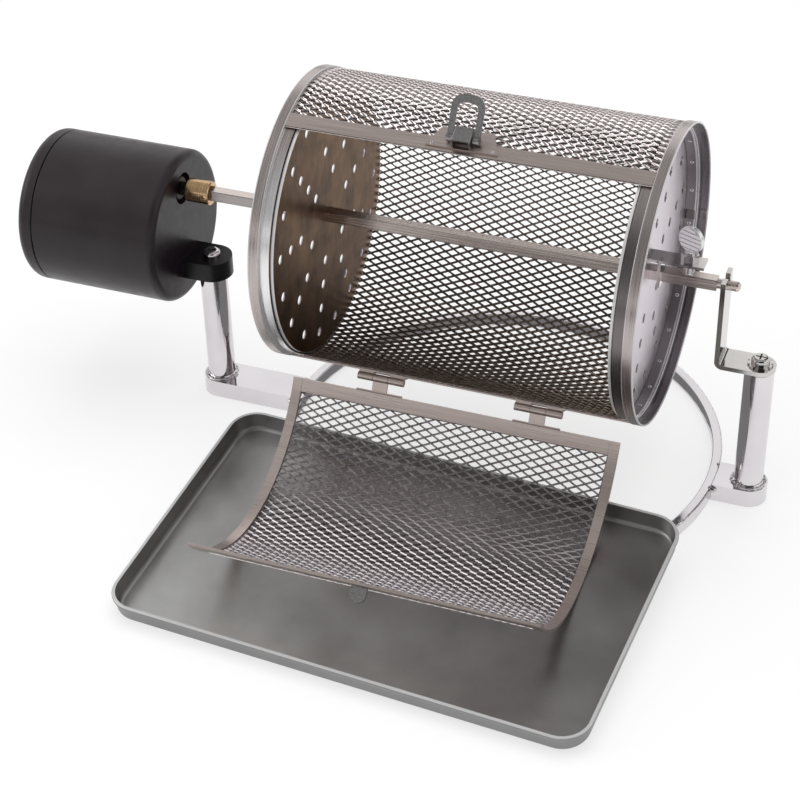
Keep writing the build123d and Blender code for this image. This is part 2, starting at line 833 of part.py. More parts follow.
def clamp_nut():
    base = axis_height + clamp_rise + running_gap
    nut = extrude(RegularPolygon(nut_radius, 6), nut_height)
    nut = Pos(thumb_x(), 0, base) * nut
    return nut - hole_z(thumb_hole, base, base + nut_height, thumb_x(), 0)


def thumb_screw():
    """Screw down to the rod with a flat round grooved head."""
    tip = axis_height + rod_side / 2 + running_gap
    head_z = axis_height + thumb_rise
    stem = bar_z(thumb_radius, tip, head_z - thumb_head_radius + groove_size, 0, 0)
    head = Rot(90, 0, 0) * Cylinder(thumb_head_radius, thumb_head_sheet)
    head = fillet(head.edges().filter_by(GeomType.CIRCLE), groove_size)
    step = 2 * thumb_head_radius / (thumb_grooves + 1)
    groove = Box(4 * thumb_head_radius, groove_size, groove_size)
    for number in range(thumb_grooves):
        z = -thumb_head_radius + (number + 1) * step
        for face in (-1, 1):
            head -= Pos(0, face * thumb_head_sheet / 2, z) * groove
    body = stem + Pos(0, 0, head_z) * head
    return Pos(thumb_x(), 0, 0) * Rot(0, 0, thumb_turn) * body


# Tray
def wall_spread():
    return tray_height * tan(radians(tray_taper))


def tray_middle():
    """Middle of the tray along its own length, set a little in front of the open door's belly."""
    hinge_y, hinge_z = on_drum(hinge_radius, hinge_angle)
    rise = ring_height + 2 * tray_sheet + door_outer - hinge_z
    return hinge_y - (hinge_radius ** 2 - rise ** 2) ** 0.5 - tray_before_belly


def tray_slope():
    """Tilt in degrees that lays the tray on the ring's front and its own front edge on the table."""
    front = tray_depth / 2 - tray_rim - wall_spread() - tray_bottom_round - tray_middle()
    return degrees(atan2(ring_height + running_gap, front - ring_radius))


def underside(along):
    """Height of the tray's underside at a distance along its own length."""
    return ring_height + running_gap + (along + ring_radius) * tan(radians(tray_slope()))


def tray():
    """Pressed tray with sloping walls and a rolled rim, leaning on the ring."""
    shrink = 2 * (tray_rim + wall_spread())
    corner = tray_corner - tray_rim - wall_spread()
    floor = RectangleRounded(tray_width - shrink, tray_depth - shrink, corner)
    outer = extrude(floor, tray_height, taper=-tray_taper)
    outer = fillet(outer.edges().group_by(Axis.Z)[0], tray_bottom_round)
    inside = RectangleRounded(tray_width - shrink - 2 * tray_sheet, tray_depth - shrink - 2 * tray_sheet,
                              corner - tray_sheet)
    inner = extrude(inside, tray_height, taper=-tray_taper)
    inner = fillet(inner.edges().group_by(Axis.Z)[0], tray_bottom_round - tray_sheet)
    inset = tray_rim + tray_sheet
    rim = RectangleRounded(tray_width, tray_depth, tray_corner)
    rim -= RectangleRounded(tray_width - 2 * inset, tray_depth - 2 * inset, tray_corner - inset)
    rim = extrude(rim, tray_rim_height)
    rim = fillet(rim.edges().group_by(Axis.Z)[-1] + rim.edges().group_by(Axis.Z)[0], tray_rim_round)
    shell = outer + Pos(0, 0, tray_height - tray_rim_height) * rim - Pos(0, 0, tray_sheet) * inner
    centre = Pos(tray_shift, tray_middle(), 0)
    leaning = Rot(0, 0, tray_turn) * centre * Rot(tray_slope(), 0, 0) * shell
    return Pos(0, 0, -leaning.bounding_box().min.Z) * leaning


def door_clears(swing):
    """True where the door, swung open so far, is clear of the tray's floor and of its rear rim."""
    slope = radians(tray_slope())
    turn = radians(tray_turn)
    hinge_y, hinge_z = on_drum(hinge_radius, hinge_angle)
    y = hinge_y + hinge_radius * cos(radians(swing - hinge_angle))
    z = hinge_z + hinge_radius * sin(radians(swing - hinge_angle))
    along = max(y * cos(turn) - x * sin(turn) for x in door_ends()) - tray_middle()
    above = z - underside(tray_middle())
    back = along * cos(slope) + above * sin(slope)
    up = above * cos(slope) - along * sin(slope)
    rim = tray_depth / 2 - tray_rim - tray_sheet
    floor_gap = up - tray_sheet - door_outer
    rim_gap = hypot(back - rim, up - tray_height) - door_outer
    return min(floor_gap, rim_gap) > door_rest_gap


def door_open_angle():
    """Widest swing, in small steps, that leaves the door just clear of the tray."""
    swing = door_search
    while not door_clears(swing):
        swing -= door_step
    return swing


# All nodes, each a list of solids
nodes = {
    "base_ring": [base_ring()],
    "left_arm": [arm(left_post_x)],
    "right_arm": [arm(right_post_x)],
    "left_post": [post(left_post_x, left_post_top)],
    "right_post": [post(right_post_x, right_post_top)],
    "bearing_bracket": [bearing_bracket()],
    "bracket_washer": [toothed_washer()],
    "motor_housing": [motor_housing()],
    "rear_cap": [rear_cap()],
    "cap_screws": cap_screws(),
    "cord_grommet": [cord_grommet()],
    "motor_can": [motor_can()],
    "gearbox_plate": [gearbox_plate()],
    "motor_screws": motor_screws(),
    "stator_coil": [stator_coil()],
    "gear_pins": gear_pins(),
    "rotor": [rotor()],
    "idler_gear": [idler_gear()],
    "output_gear": [output_gear()],
    "output_shaft": [output_shaft()],
    "coupling": [coupling()],
    "coupling_screws": coupling_screws(),
    "drive_rod": [drive_rod()],
    "left_end_pan": [end_pan(drum_left + pan_inset, -1)],
    "right_end_pan": [end_pan(drum_right - pan_inset, 1)],
    "left_rim_band": [rim_band(drum_left, -1)],
    "right_rim_band": [rim_band(drum_right, 1)],
    "drum_skin": [drum_skin()],
    "upper_edge_strip": [upper_edge_strip()],
    "lower_edge_strip": [lower_edge_strip()],
    "drum_hinge_leaves": [drum_hinge_leaf(x) for x in hinge_centres()],
    "latch_plate": [latch_plate()],
    "latch_box": [latch_box()],
    "latch_pin": [latch_pin()],
    "latch_loop": [latch_loop()],
    "clamp_strap": [clamp_strap()],
    "clamp_nut": [clamp_nut()],
    "thumb_screw": [thumb_screw()],
    "tray": [tray()],
}

# Screws through the bracket and the motor lug
big_screw = pan_screw(screw_head_radius, screw_head_height, screw_radius, screw_length)
bracket_seat = right_post_top + strap_sheet + washer_sheet + 2 * running_gap
nodes["bracket_screw"] = [Pos(right_post_x, 0, bracket_seat) * big_screw]
long_screw = pan_screw(screw_head_radius, screw_head_height, screw_radius, screw_length + lug_height)
lug_seat = left_post_top + lug_height + running_gap
nodes["lug_screw"] = [Pos(left_post_x, 0, lug_seat) * Rot(0, 0, lug_screw_turn) * long_screw]

# Door pieces swung open together about the hinge axis
hinge_y, hinge_z = on_drum(hinge_radius, hinge_angle)
hinge_axis = Axis((0, hinge_y, hinge_z), (1, 0, 0))
closed_door = {
    "door_mesh": [door_mesh()],
    "door_left_strip": [door_side_strip(-1)],
    "door_right_strip": [door_side_strip(1)],
    "door_free_strip": [door_free_strip()],
    "door_hinge_strip": [door_hinge_strip()],
    "door_keeper": [door_keeper()],
    "door_hinge_leaves": [door_hinge_leaf(x) for x in hinge_centres()],
    "hinge_pins": [hinge_pin(x) for x in hinge_centres()],
}
door_swing = door_open_angle()
for name, solids in closed_door.items():
    nodes[name] = [solid.rotate(hinge_axis, door_swing) for solid in solids]

# Shift everything so that the origin is the bottom centre of the whole, then write the files
everything = [Compound(solid.wrapped) for solids in nodes.values() for solid in solids]
whole = Compound(children=everything).bounding_box()
shift = Pos(-whole.center().X, -whole.center().Y, -whole.min.Z)
os.makedirs("parts", exist_ok=True)
for name, solids in nodes.items():
    moved = [shift * solid for solid in solids]
    shape = moved[0] if len(moved) == 1 else Compound(children=moved)
    export_step(shape, f"parts/{name}.step")

# Places that the joints and the mount refer to
anchors = {
    "drum axis": (0, 0, axis_height),
    "hinge axis": (0, hinge_y, hinge_z),
    "latch pivot": tuple(pivot_point()),
    "thumb screw": (thumb_x(), 0, axis_height),
    "idler": (output_plane, *idler_place()),
    "rotor": (rotor_plane, 0, can_z),
    "ring front": (0, -ring_radius + ring_bar / 2, 0),
    "right post": (right_post_x, 0, 0),
    "left post": (left_post_x, 0, 0),
    "drum left": (drum_left, 0, axis_height),
    "drum right": (drum_right, 0, axis_height),
}
offset = shift.position
for name, place in anchors.items():
    print(name, [round(v + s, 4) for v, s in zip(place, offset)])
print("size", whole.size, "door swing", round(door_swing, 3), "tray slope", round(tray_slope(), 3))
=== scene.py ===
# %% [markdown]
# # A table-top drum roaster
# The roaster is a mesh drum with an open door, turned by a small gear motor on a ring stand, with a shallow
# tray under the door. The measured model comes in first, as a frame that stays where it is. After that come
# the camera, the floor and the light, a finish for each kind of metal and plastic, and the pieces that are
# too fine for the measured model, such as the expanded metal of the drum and the door.

# %% Load the measured model
import bmesh
import bpy
import json
from math import atan2, cos, pi, radians, sin
from mathutils import Euler, Matrix, Vector


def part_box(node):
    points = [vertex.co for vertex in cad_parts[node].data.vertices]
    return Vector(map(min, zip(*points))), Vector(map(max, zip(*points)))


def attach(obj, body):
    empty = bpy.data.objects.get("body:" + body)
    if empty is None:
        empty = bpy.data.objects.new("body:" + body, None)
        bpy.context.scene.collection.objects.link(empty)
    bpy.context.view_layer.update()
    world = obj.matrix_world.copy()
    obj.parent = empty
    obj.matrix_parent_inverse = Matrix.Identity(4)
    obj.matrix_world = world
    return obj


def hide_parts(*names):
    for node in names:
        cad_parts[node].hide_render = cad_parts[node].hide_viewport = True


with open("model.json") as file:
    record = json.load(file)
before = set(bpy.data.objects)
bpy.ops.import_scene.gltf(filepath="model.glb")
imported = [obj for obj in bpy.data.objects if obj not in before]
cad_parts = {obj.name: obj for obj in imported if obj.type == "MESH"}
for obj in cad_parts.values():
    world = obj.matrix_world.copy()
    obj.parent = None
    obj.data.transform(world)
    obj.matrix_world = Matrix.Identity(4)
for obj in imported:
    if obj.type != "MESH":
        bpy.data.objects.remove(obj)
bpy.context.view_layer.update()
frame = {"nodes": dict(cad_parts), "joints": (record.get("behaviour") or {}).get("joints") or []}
nodes = frame["nodes"]
joints = {joint["name"]: joint for joint in frame["joints"]}
mm = 0.001

# %% [markdown]
# ## Camera
# The picture was taken with a long lens from the front right, looking down at some 36 degrees. The place and
# the three angles were found from the two rims of the drum, the ring and the posts. A camera object keeps
# its turning in a matrix: its columns are the picture's right, the picture's up, and the way back to the
# viewer.

# %% Camera
ring_low, ring_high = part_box("base_ring")
ring_middle = (ring_low + ring_high) / 2
camera_from_ring = Vector((262.0, -815.0, 658.4)) * mm
azimuth = radians(21.4)
elevation = radians(36.3)
roll = radians(-1.5)
back = Vector((sin(azimuth) * cos(elevation), -cos(azimuth) * cos(elevation), sin(elevation)))
level = Vector((cos(azimuth), sin(azimuth), 0))
upright = back.cross(level)
right = cos(roll) * level + sin(roll) * upright
up = cos(roll) * upright - sin(roll) * level
bpy.ops.object.camera_add()
camera = bpy.context.object
camera.name = "photo_camera"
camera.data.lens = 90.54
turning = Matrix((right, up, back)).transposed().to_4x4()
place = Vector((ring_middle.x, ring_middle.y, 0)) + camera_from_ring
camera.matrix_world = Matrix.Translation(place) @ turning
bpy.context.scene.camera = camera
bpy.context.scene.view_settings.view_transform = "Standard"
print("camera at", [round(v, 3) for v in place])

# %% [markdown]
# ## Floor, world and lamps
# The roaster stands on a white table in a white room with soft light. A floor that is only diffuse white
# would come out grey, so the rays of the camera, of metal and of glass see it glow a little, while its
# diffuse part still takes the shadow of the roaster. Far from the roaster the floor takes on the white of
# the room, so that no edge shows.

# %% Helpers for the floor
def seen_ray(tree):
    """1 for rays that show the background itself: from the camera, from metal and from glass."""
    path = tree.nodes.new("ShaderNodeLightPath")
    first_two = tree.nodes.new("ShaderNodeMath")
    first_two.operation = "ADD"
    tree.links.new(path.outputs["Is Camera Ray"], first_two.inputs[0])
    tree.links.new(path.outputs["Is Glossy Ray"], first_two.inputs[1])
    any_of = tree.nodes.new("ShaderNodeMath")
    any_of.operation = "ADD"
    any_of.use_clamp = True
    tree.links.new(first_two.outputs[0], any_of.inputs[0])
    tree.links.new(path.outputs["Is Transmission Ray"], any_of.inputs[1])
    return any_of.outputs[0]


def far_from_middle(tree, start, end):
    """0 on the floor nearer than the start distance, 1 beyond the end distance."""
    where = tree.nodes.new("ShaderNodeTexCoord")
    distance = tree.nodes.new("ShaderNodeVectorMath")
    distance.operation = "LENGTH"
    fade = tree.nodes.new("ShaderNodeMapRange")
    fade.inputs["From Min"].default_value = start
    fade.inputs["From Max"].default_value = end
    tree.links.new(where.outputs["Object"], distance.inputs[0])
    tree.links.new(distance.outputs["Value"], fade.inputs["Value"])
    return fade.outputs["Result"]


# %% Floor
fade_start = 0.5
fade_end = 1.8
table_white = 0.8
shadow_white = 0.42
table_glow = 0.66


def white_floor():
    """White table near the roaster that turns into the white of the room further away."""
    material = bpy.data.materials.new("white_floor")
    material.use_nodes = True
    tree = material.node_tree
    tree.nodes.clear()
    plain = tree.nodes.new("ShaderNodeBsdfDiffuse")
    plain.inputs["Color"].default_value = (table_white, table_white, table_white, 1)
    soft = tree.nodes.new("ShaderNodeBsdfDiffuse")
    soft.inputs["Color"].default_value = (shadow_white, shadow_white, shadow_white, 1)
    glow = tree.nodes.new("ShaderNodeEmission")
    glow.inputs["Strength"].default_value = table_glow
    near = tree.nodes.new("ShaderNodeAddShader")
    tree.links.new(soft.outputs[0], near.inputs[0])
    tree.links.new(glow.outputs[0], near.inputs[1])
    room = tree.nodes.new("ShaderNodeEmission")
    seen = tree.nodes.new("ShaderNodeMixShader")
    tree.links.new(far_from_middle(tree, fade_start, fade_end), seen.inputs[0])
    tree.links.new(near.outputs[0], seen.inputs[1])
    tree.links.new(room.outputs[0], seen.inputs[2])
    mix = tree.nodes.new("ShaderNodeMixShader")
    tree.links.new(seen_ray(tree), mix.inputs[0])
    tree.links.new(plain.outputs[0], mix.inputs[1])
    tree.links.new(seen.outputs[0], mix.inputs[2])
    out = tree.nodes.new("ShaderNodeOutputMaterial")
    tree.links.new(mix.outputs[0], out.inputs["Surface"])
    return material


bpy.ops.object.select_all(action="DESELECT")
bpy.ops.mesh.primitive_plane_add(size=8)
floor = bpy.context.object
floor.name = "floor"
floor.data.materials.append(white_floor())
print("floor", tuple(floor.dimensions))

# %% [markdown]
# ### World
# Light from all round fills the shadows. The world could be a sky or a picture of a room, but every piece
# would then carry its colours, and a white one leaves the metal as it is. Two strengths are mixed: half for
# the light on the roaster, and full white for what the camera and the metal see.

# %% World
world = bpy.data.worlds.new("white_room")
bpy.context.scene.world = world
world.use_nodes = True
tree = world.node_tree
tree.nodes.clear()
room_light = tree.nodes.new("ShaderNodeBackground")
room_light.inputs["Color"].default_value = (1, 1, 1, 1)
room_light.inputs["Strength"].default_value = 0.5
room_white = tree.nodes.new("ShaderNodeBackground")
room_white.inputs["Color"].default_value = (1, 1, 1, 1)
room_white.inputs["Strength"].default_value = 1.0
room_mix = tree.nodes.new("ShaderNodeMixShader")
tree.links.new(seen_ray(tree), room_mix.inputs[0])
tree.links.new(room_light.outputs[0], room_mix.inputs[1])
tree.links.new(room_white.outputs[0], room_mix.inputs[2])
room_out = tree.nodes.new("ShaderNodeOutputWorld")
tree.links.new(room_mix.outputs[0], room_out.inputs["Surface"])
print("world", world.name)

# %% [markdown]
# ### Lamps
# A small lamp would give hard black shadows. Two large square ones give the soft shadows of a studio: one
# above, and a weaker one from the left. Metal doesn't see the upper lamp, because its square would shine in
# every strip and bar.

# %% Lamps
lamp_target = Vector((0.05, 0.0, 0.1))


def soft_lamp(name, place, size, power):
    """Square lamp that looks at the roaster."""
    bpy.ops.object.light_add(type="AREA", location=place)
    lamp = bpy.context.object
    lamp.name = name
    lamp.data.size = size
    lamp.data.energy = power
    towards = lamp_target - Vector(place)
    lamp.rotation_euler = towards.to_track_quat("-Z", "Y").to_euler()
    return lamp


top_lamp = soft_lamp("top_lamp", (0.0, 0.15, 1.3), size=1.2, power=7.0)
top_lamp.visible_glossy = False
soft_lamp("left_lamp", (-1.3, -0.5, 0.8), size=0.8, power=3.0)

# %% [markdown]
# ### What bright metal sees
# Bright metal shows the room round it. The upper strip and the latch plate look straight up and are a middle
# grey, so the ceiling was grey. Strands of the mesh that lean to the right are dark, so there was a dark
# room behind the viewer, with a greyer part to the left, and another dark corner behind the drum. The
# rounded edges of the plated bars each carry a thin dark line, which is the darker room beyond the white
# table, low all round. Under the drum the inner wall of the ring is dark as well, because it mirrors a grey
# disc on the floor that is a painted shadow of the drum. Cards that only reflections can see give all this
# without changing the light on anything else.

# %% Helpers for cards
def only_in_reflections(card, name, grey):
    """Give a card one even tone and show it to the rays of metal alone."""
    card.name = name
    material = bpy.data.materials.new(name)
    material.use_nodes = True
    tree = material.node_tree
    tree.nodes.clear()
    glow = tree.nodes.new("ShaderNodeEmission")
    glow.inputs["Color"].default_value = (grey, grey, grey, 1)
    out = tree.nodes.new("ShaderNodeOutputMaterial")
    tree.links.new(glow.outputs[0], out.inputs["Surface"])
    card.data.materials.append(material)
    card.visible_camera = False
    card.visible_diffuse = False
    card.visible_transmission = False
    card.visible_shadow = False
    print("card", name, "grey", grey)


drum_centre = Vector((0.05, 0.05, 0.125))


def facing_card(name, way, distance, size, grey):
    """Square card that faces the drum, this way and this far from it."""
    turn = way.to_track_quat("Z", "Y").to_euler()
    bpy.ops.mesh.primitive_plane_add(size=size, location=drum_centre + distance * way, rotation=turn)
    only_in_reflections(bpy.context.object, name, grey)


# %% Cards for reflections
bpy.ops.object.select_all(action="DESELECT")
bpy.ops.mesh.primitive_plane_add(size=2.6, location=(0.35, 0.2, 1.6))
only_in_reflections(bpy.context.object, "ceiling_card", grey=0.42)
facing_card("dark_room_card", Vector((0.36, -0.64, 0.68)), distance=1.5, size=1.4, grey=0.04)
facing_card("front_room_card", Vector((-0.32, -0.74, 0.59)), distance=1.6, size=1.3, grey=0.38)
facing_card("dark_corner_card", Vector((0.294, 0.75, 0.592)), distance=1.5, size=0.8, grey=0.06)
bpy.ops.mesh.primitive_cylinder_add(vertices=96, radius=2.6, depth=0.3, location=(0, 0, 0.15),
                                    end_fill_type="NOTHING")
only_in_reflections(bpy.context.object, "horizon_card", grey=0.05)
# The grey disc under the drum, seen only in reflections, is a painted shadow of the drum on the floor.
under_drum = (ring_middle.x, ring_middle.y, 0.4 * mm)
bpy.ops.mesh.primitive_circle_add(vertices=64, radius=111 * mm, fill_type="NGON", location=under_drum)
only_in_reflections(bpy.context.object, "shaded_floor_card", grey=0.22)

# %% [markdown]
# ## Finishes
# Each finish starts from the plain shader. A pattern on Object coordinates then varies its colour, its
# roughness and its surface, because no real sheet or moulding is the same all over. Stretching the pattern
# along one direction turns it into brush marks.

# %% Start of a finish and its grain
def new_finish(name, metallic):
    """Material with the plain shader, metallic 1 for metal and 0 for plastic and rubber."""
    material = bpy.data.materials.new(name)
    material.use_nodes = True
    material.node_tree.nodes["Principled BSDF"].inputs["Metallic"].default_value = metallic
    return material


def grain(material, stretch, detail=2.0):
    """Noise on Object coordinates; stretch is how many changes there are per metre along each axis."""
    tree = material.node_tree
    where = tree.nodes.new("ShaderNodeTexCoord")
    mapping = tree.nodes.new("ShaderNodeMapping")
    mapping.inputs["Scale"].default_value = stretch
    noise = tree.nodes.new("ShaderNodeTexNoise")
    noise.inputs["Scale"].default_value = 1.0
    noise.inputs["Detail"].default_value = detail
    tree.links.new(where.outputs["Object"], mapping.inputs["Vector"])
    tree.links.new(mapping.outputs["Vector"], noise.inputs["Vector"])
    return noise.outputs["Fac"]


# %% [markdown]
# Noise lies mostly between 0.3 and 0.7. That range is stretched from a dark to a light tone for the colour,
# and from smooth to rough for the roughness. A bump node turns noise into a slightly uneven surface.

# %% A pattern for the colour
pattern_low = 0.3
pattern_high = 0.7


def two_tones(material, pattern, dark, light):
    """Turn a pattern into a colour between a dark and a light tone."""
    tree = material.node_tree
    ramp = tree.nodes.new("ShaderNodeValToRGB")
    ramp.color_ramp.elements[0].position = pattern_low
    ramp.color_ramp.elements[1].position = pattern_high
    ramp.color_ramp.elements[0].color = (*dark, 1)
    ramp.color_ramp.elements[1].color = (*light, 1)
    tree.links.new(pattern, ramp.inputs["Fac"])
    return ramp.outputs["Color"]


def vary_colour(material, pattern, dark, light):
    """Lead a pattern to the colour, from a dark to a light tone."""
    tree = material.node_tree
    tones = two_tones(material, pattern, dark, light)
    tree.links.new(tones, tree.nodes["Principled BSDF"].inputs["Base Color"])


# %% A pattern for the roughness and the surface
def vary_roughness(material, pattern, low, high):
    """Lead a pattern to the roughness."""
    tree = material.node_tree
    between = tree.nodes.new("ShaderNodeMapRange")
    between.inputs["From Min"].default_value = pattern_low
    between.inputs["From Max"].default_value = pattern_high
    between.inputs["To Min"].default_value = low
    between.inputs["To Max"].default_value = high
    tree.links.new(pattern, between.inputs["Value"])
    tree.links.new(between.outputs["Result"], tree.nodes["Principled BSDF"].inputs["Roughness"])


def roughen(material, pattern, depth):
    """Lead a pattern to the surface as bumps of this depth in metres."""
    tree = material.node_tree
    bump = tree.nodes.new("ShaderNodeBump")
    bump.inputs["Strength"].default_value = 1.0
    bump.inputs["Distance"].default_value = depth
    tree.links.new(pattern, bump.inputs["Height"])
    tree.links.new(bump.outputs["Normal"], tree.nodes["Principled BSDF"].inputs["Normal"])


# %% A metal with one pattern, and painting
def speckled(name, stretch, detail, dark, light, smooth, rough):
    """Metal whose colour and roughness follow one pattern; gives the metal and the pattern."""
    material = new_finish(name, 1.0)
    pattern = grain(material, stretch, detail)
    vary_colour(material, pattern, dark, light)
    vary_roughness(material, pattern, smooth, rough)
    return material, pattern


def paint(material, *names):
    """Put a finish on measured nodes."""
    for name in names:
        nodes[name].data.materials.clear()
        nodes[name].data.materials.append(material)
    print(material.name, "on", len(names), "nodes")


# %% [markdown]
# ### Finishes that change with the place
# Some pieces don't look the same all over: the end pans are bright outside and browned inside where the
# roasting goes on, with painted shade there as well, and the motor's lug is blacker than its body. A first
# group of helpers measures where a point is, in Object coordinates.

# %% Helpers for places
def calculation(material, operation, value):
    """Math node that starts from this value."""
    tree = material.node_tree
    node = tree.nodes.new("ShaderNodeMath")
    node.operation = operation
    tree.links.new(value, node.inputs[0])
    return node


def shifted(material, value, middle):
    """The value counted from a middle place."""
    shift = calculation(material, "SUBTRACT", value)
    shift.inputs[1].default_value = middle
    return shift.outputs[0]


def along(material, axis, middle=0.0):
    """Distance along one axis, "X", "Y" or "Z", from a middle place."""
    tree = material.node_tree
    where = tree.nodes.new("ShaderNodeTexCoord")
    parts = tree.nodes.new("ShaderNodeSeparateXYZ")
    tree.links.new(where.outputs["Object"], parts.inputs[0])
    return shifted(material, parts.outputs[axis], middle)


def size_of(material, value):
    """The value without its sign."""
    return calculation(material, "ABSOLUTE", value).outputs[0]


def from_axis(material, axis):
    """Distance from a line along X through this point."""
    tree = material.node_tree
    where = tree.nodes.new("ShaderNodeTexCoord")
    shift = tree.nodes.new("ShaderNodeVectorMath")
    shift.operation = "SUBTRACT"
    shift.inputs[1].default_value = axis
    flat = tree.nodes.new("ShaderNodeVectorMath")
    flat.operation = "MULTIPLY"
    flat.inputs[1].default_value = (0, 1, 1)
    far = tree.nodes.new("ShaderNodeVectorMath")
    far.operation = "LENGTH"
    tree.links.new(where.outputs["Object"], shift.inputs[0])
    tree.links.new(shift.outputs[0], flat.inputs[0])
    tree.links.new(flat.outputs[0], far.inputs[0])
    return far.outputs["Value"]


# %% [markdown]
# A mask is 0 on one side of a border and 1 on the other, and two masks can be joined to one. A mask then
# lays another colour over a finish.

# %% Helpers for masks
def border(material, value, start, end):
    """Mask that is 0 at the start value and 1 at the end value."""
    tree = material.node_tree
    ramp = tree.nodes.new("ShaderNodeMapRange")
    ramp.inputs["From Min"].default_value = start
    ramp.inputs["From Max"].default_value = end
    tree.links.new(value, ramp.inputs["Value"])
    return ramp.outputs["Result"]


def both(material, first, second):
    """Mask that is 1 where two masks are 1."""
    product = calculation(material, "MULTIPLY", first)
    material.node_tree.links.new(second, product.inputs[1])
    return product.outputs[0]


def either(material, first, second):
    """Mask that is 1 where one of two masks is 1."""
    larger = calculation(material, "MAXIMUM", first)
    material.node_tree.links.new(second, larger.inputs[1])
    return larger.outputs[0]


# %% Helpers for colours over a finish
def layer(material, mask):
    """Put a layer over the colour where the mask is 1, and give the socket of the layer's own colour."""
    tree = material.node_tree
    socket = tree.nodes["Principled BSDF"].inputs["Base Color"]
    mix = tree.nodes.new("ShaderNodeMix")
    mix.data_type = "RGBA"
    under, over = mix.inputs[6], mix.inputs[7]
    tree.links.new(socket.links[0].from_socket, under)
    tree.links.new(mask, mix.inputs[0])
    tree.links.new(mix.outputs[2], socket)
    return over


def stain(material, mask, colour):
    """Lay one colour over the finish where the mask is 1."""
    layer(material, mask).default_value = (*colour, 1)


def patchy_wear_and_shade(material, mask, pattern, dark, light):
    """Lay a patchy colour over the finish where the mask is 1, for wear and for painted shade."""
    tones = two_tones(material, pattern, dark, light)
    material.node_tree.links.new(tones, layer(material, mask))


def paint_highlight(material, mask, colour):
    """Painted highlight where the mask is 1: a pale line, less metallic, so that it no longer mirrors the
    room.
    """
    stain(material, mask, colour)
    tree = material.node_tree
    less = tree.nodes.new("ShaderNodeMapRange")
    less.inputs["To Min"].default_value = 1.0
    less.inputs["To Max"].default_value = 0.3
    tree.links.new(mask, less.inputs["Value"])
    tree.links.new(less.outputs["Result"], tree.nodes["Principled BSDF"].inputs["Metallic"])


# %% [markdown]
# ### Plated steel
# The ring, the arms and the posts are bright plated bar that mirrors the room. A perfect mirror looks drawn,
# so a soft noise makes the tone, the roughness and the surface waver a little. The bracket and the clamp are
# duller, and the thumb screw is paler because its head scatters light, so each has tones of its own.

# %% Bright plated steel
def plated(name, dark, light, rough):
    """Plated steel that mirrors the room, with a slight waviness."""
    material = new_finish(name, 1.0)
    vary_colour(material, grain(material, (45, 45, 45), detail=3.0), dark, light)
    vary_roughness(material, grain(material, (90, 90, 90)), rough - 0.04, rough + 0.06)
    roughen(material, grain(material, (60, 60, 60)), 0.02 * mm)
    return material


chrome = plated("bright_plating", dark=(0.69, 0.66, 0.68), light=(0.76, 0.73, 0.75), rough=0.1)
paint(chrome, "base_ring", "left_arm", "right_arm", "left_post", "right_post", "lug_screw", "clamp_nut")
pale_plating = plated("pale_plating", dark=(0.80, 0.79, 0.80), light=(0.92, 0.91, 0.92), rough=0.2)
pale_plating.node_tree.nodes["Principled BSDF"].inputs["Metallic"].default_value = 0.6
paint(pale_plating, "thumb_screw")
dull_plating = plated("dull_plating", dark=(0.54, 0.52, 0.50), light=(0.66, 0.64, 0.62), rough=0.1)
paint(dull_plating, "bearing_bracket", "bracket_washer", "bracket_screw", "clamp_strap")

# %% [markdown]
# ### Brushed sheet
# The strips along the mouth of the drum and round the door, the hinge leaves and the latch plate are brushed
# sheet. The marks could be scratched in one by one, but noise with many changes across and few along gives
# them all at once, and the same pattern serves for the tone, the roughness and the surface.

# %% Brushed stainless
def brushed(name, stretch, dark, light, rough):
    """Stainless sheet with brush marks; the marks run where the stretch is small."""
    material, marks = speckled(name, stretch, 3.0, dark, light, rough - 0.06, rough + 0.08)
    roughen(material, marks, 0.03 * mm)
    return material


long_brushed = brushed("stainless_brushed_along", stretch=(30, 2000, 2000), dark=(0.555, 0.47, 0.44),
                       light=(0.71, 0.61, 0.57), rough=0.32)
paint(long_brushed, "upper_edge_strip", "lower_edge_strip", "drum_hinge_leaves", "door_hinge_leaves",
      "hinge_pins", "latch_plate", "door_left_strip", "door_right_strip", "door_free_strip",
      "door_hinge_strip")

# %% [markdown]
# ### Rims of the drum
# Each rim is a rolled band: a proud ring outside and, one step lower, the ledge that the mesh lies on. The
# brush marks run round. The inner walls are a darker grey. Below the top, the ledge of the right rim is
# darkened with painted shade and that of the left rim lightened with a painted reflection of the bright
# floor. The outer edge and the step carry painted highlights as pale lines, and the inner edge a dark line
# of painted shade in the gap there. Masks that go by the place do all this without cutting the band into
# pieces.

# %% Places on the rims
drum_axis = Vector(joints["drum_spin"]["pos_m"])
rim_low, rim_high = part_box("right_rim_band")
rim_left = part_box("left_rim_band")[0].x
drum_middle = (rim_left + rim_high.x) / 2
rim_start = rim_low.x - drum_middle
rim_end = rim_high.x - drum_middle
ring_width = 5.4 * mm
rim_step = rim_end - ring_width
ring_wall = 74.3 * mm
ledge_wall = 72.3 * mm
ledge_top = 64 * mm
ledge_low = 44 * mm
edge_width = 0.5 * mm
gap_width = 0.4 * mm
step_width = 0.25 * mm
blur = 0.2 * mm
wall_blur = 0.3 * mm
print("rim from", round(rim_start, 4), "to", round(rim_end, 4), "from the drum's middle")

# %% Brushed stainless of the rims
rim_grey = (0.27, 0.25, 0.26)
# The two ledge tones below are painted shade and a painted reflection of the floor; the pale edge tone is a
# painted highlight, and the gap tone is painted shade.
ledge_painted_shade = (0.20, 0.18, 0.18)
ledge_painted_reflection = (0.86, 0.84, 0.85)
edge_highlight = (0.78, 0.76, 0.77)
gap_painted_shade = (0.05, 0.045, 0.045)
round_brushed = brushed("stainless_brushed_round", stretch=(2600, 30, 30), dark=(0.40, 0.355, 0.34),
                        light=(0.60, 0.54, 0.52), rough=0.28)


def rim_mask(value, start, end):
    """Border in the finish of the rims."""
    return border(round_brushed, value, start, end)


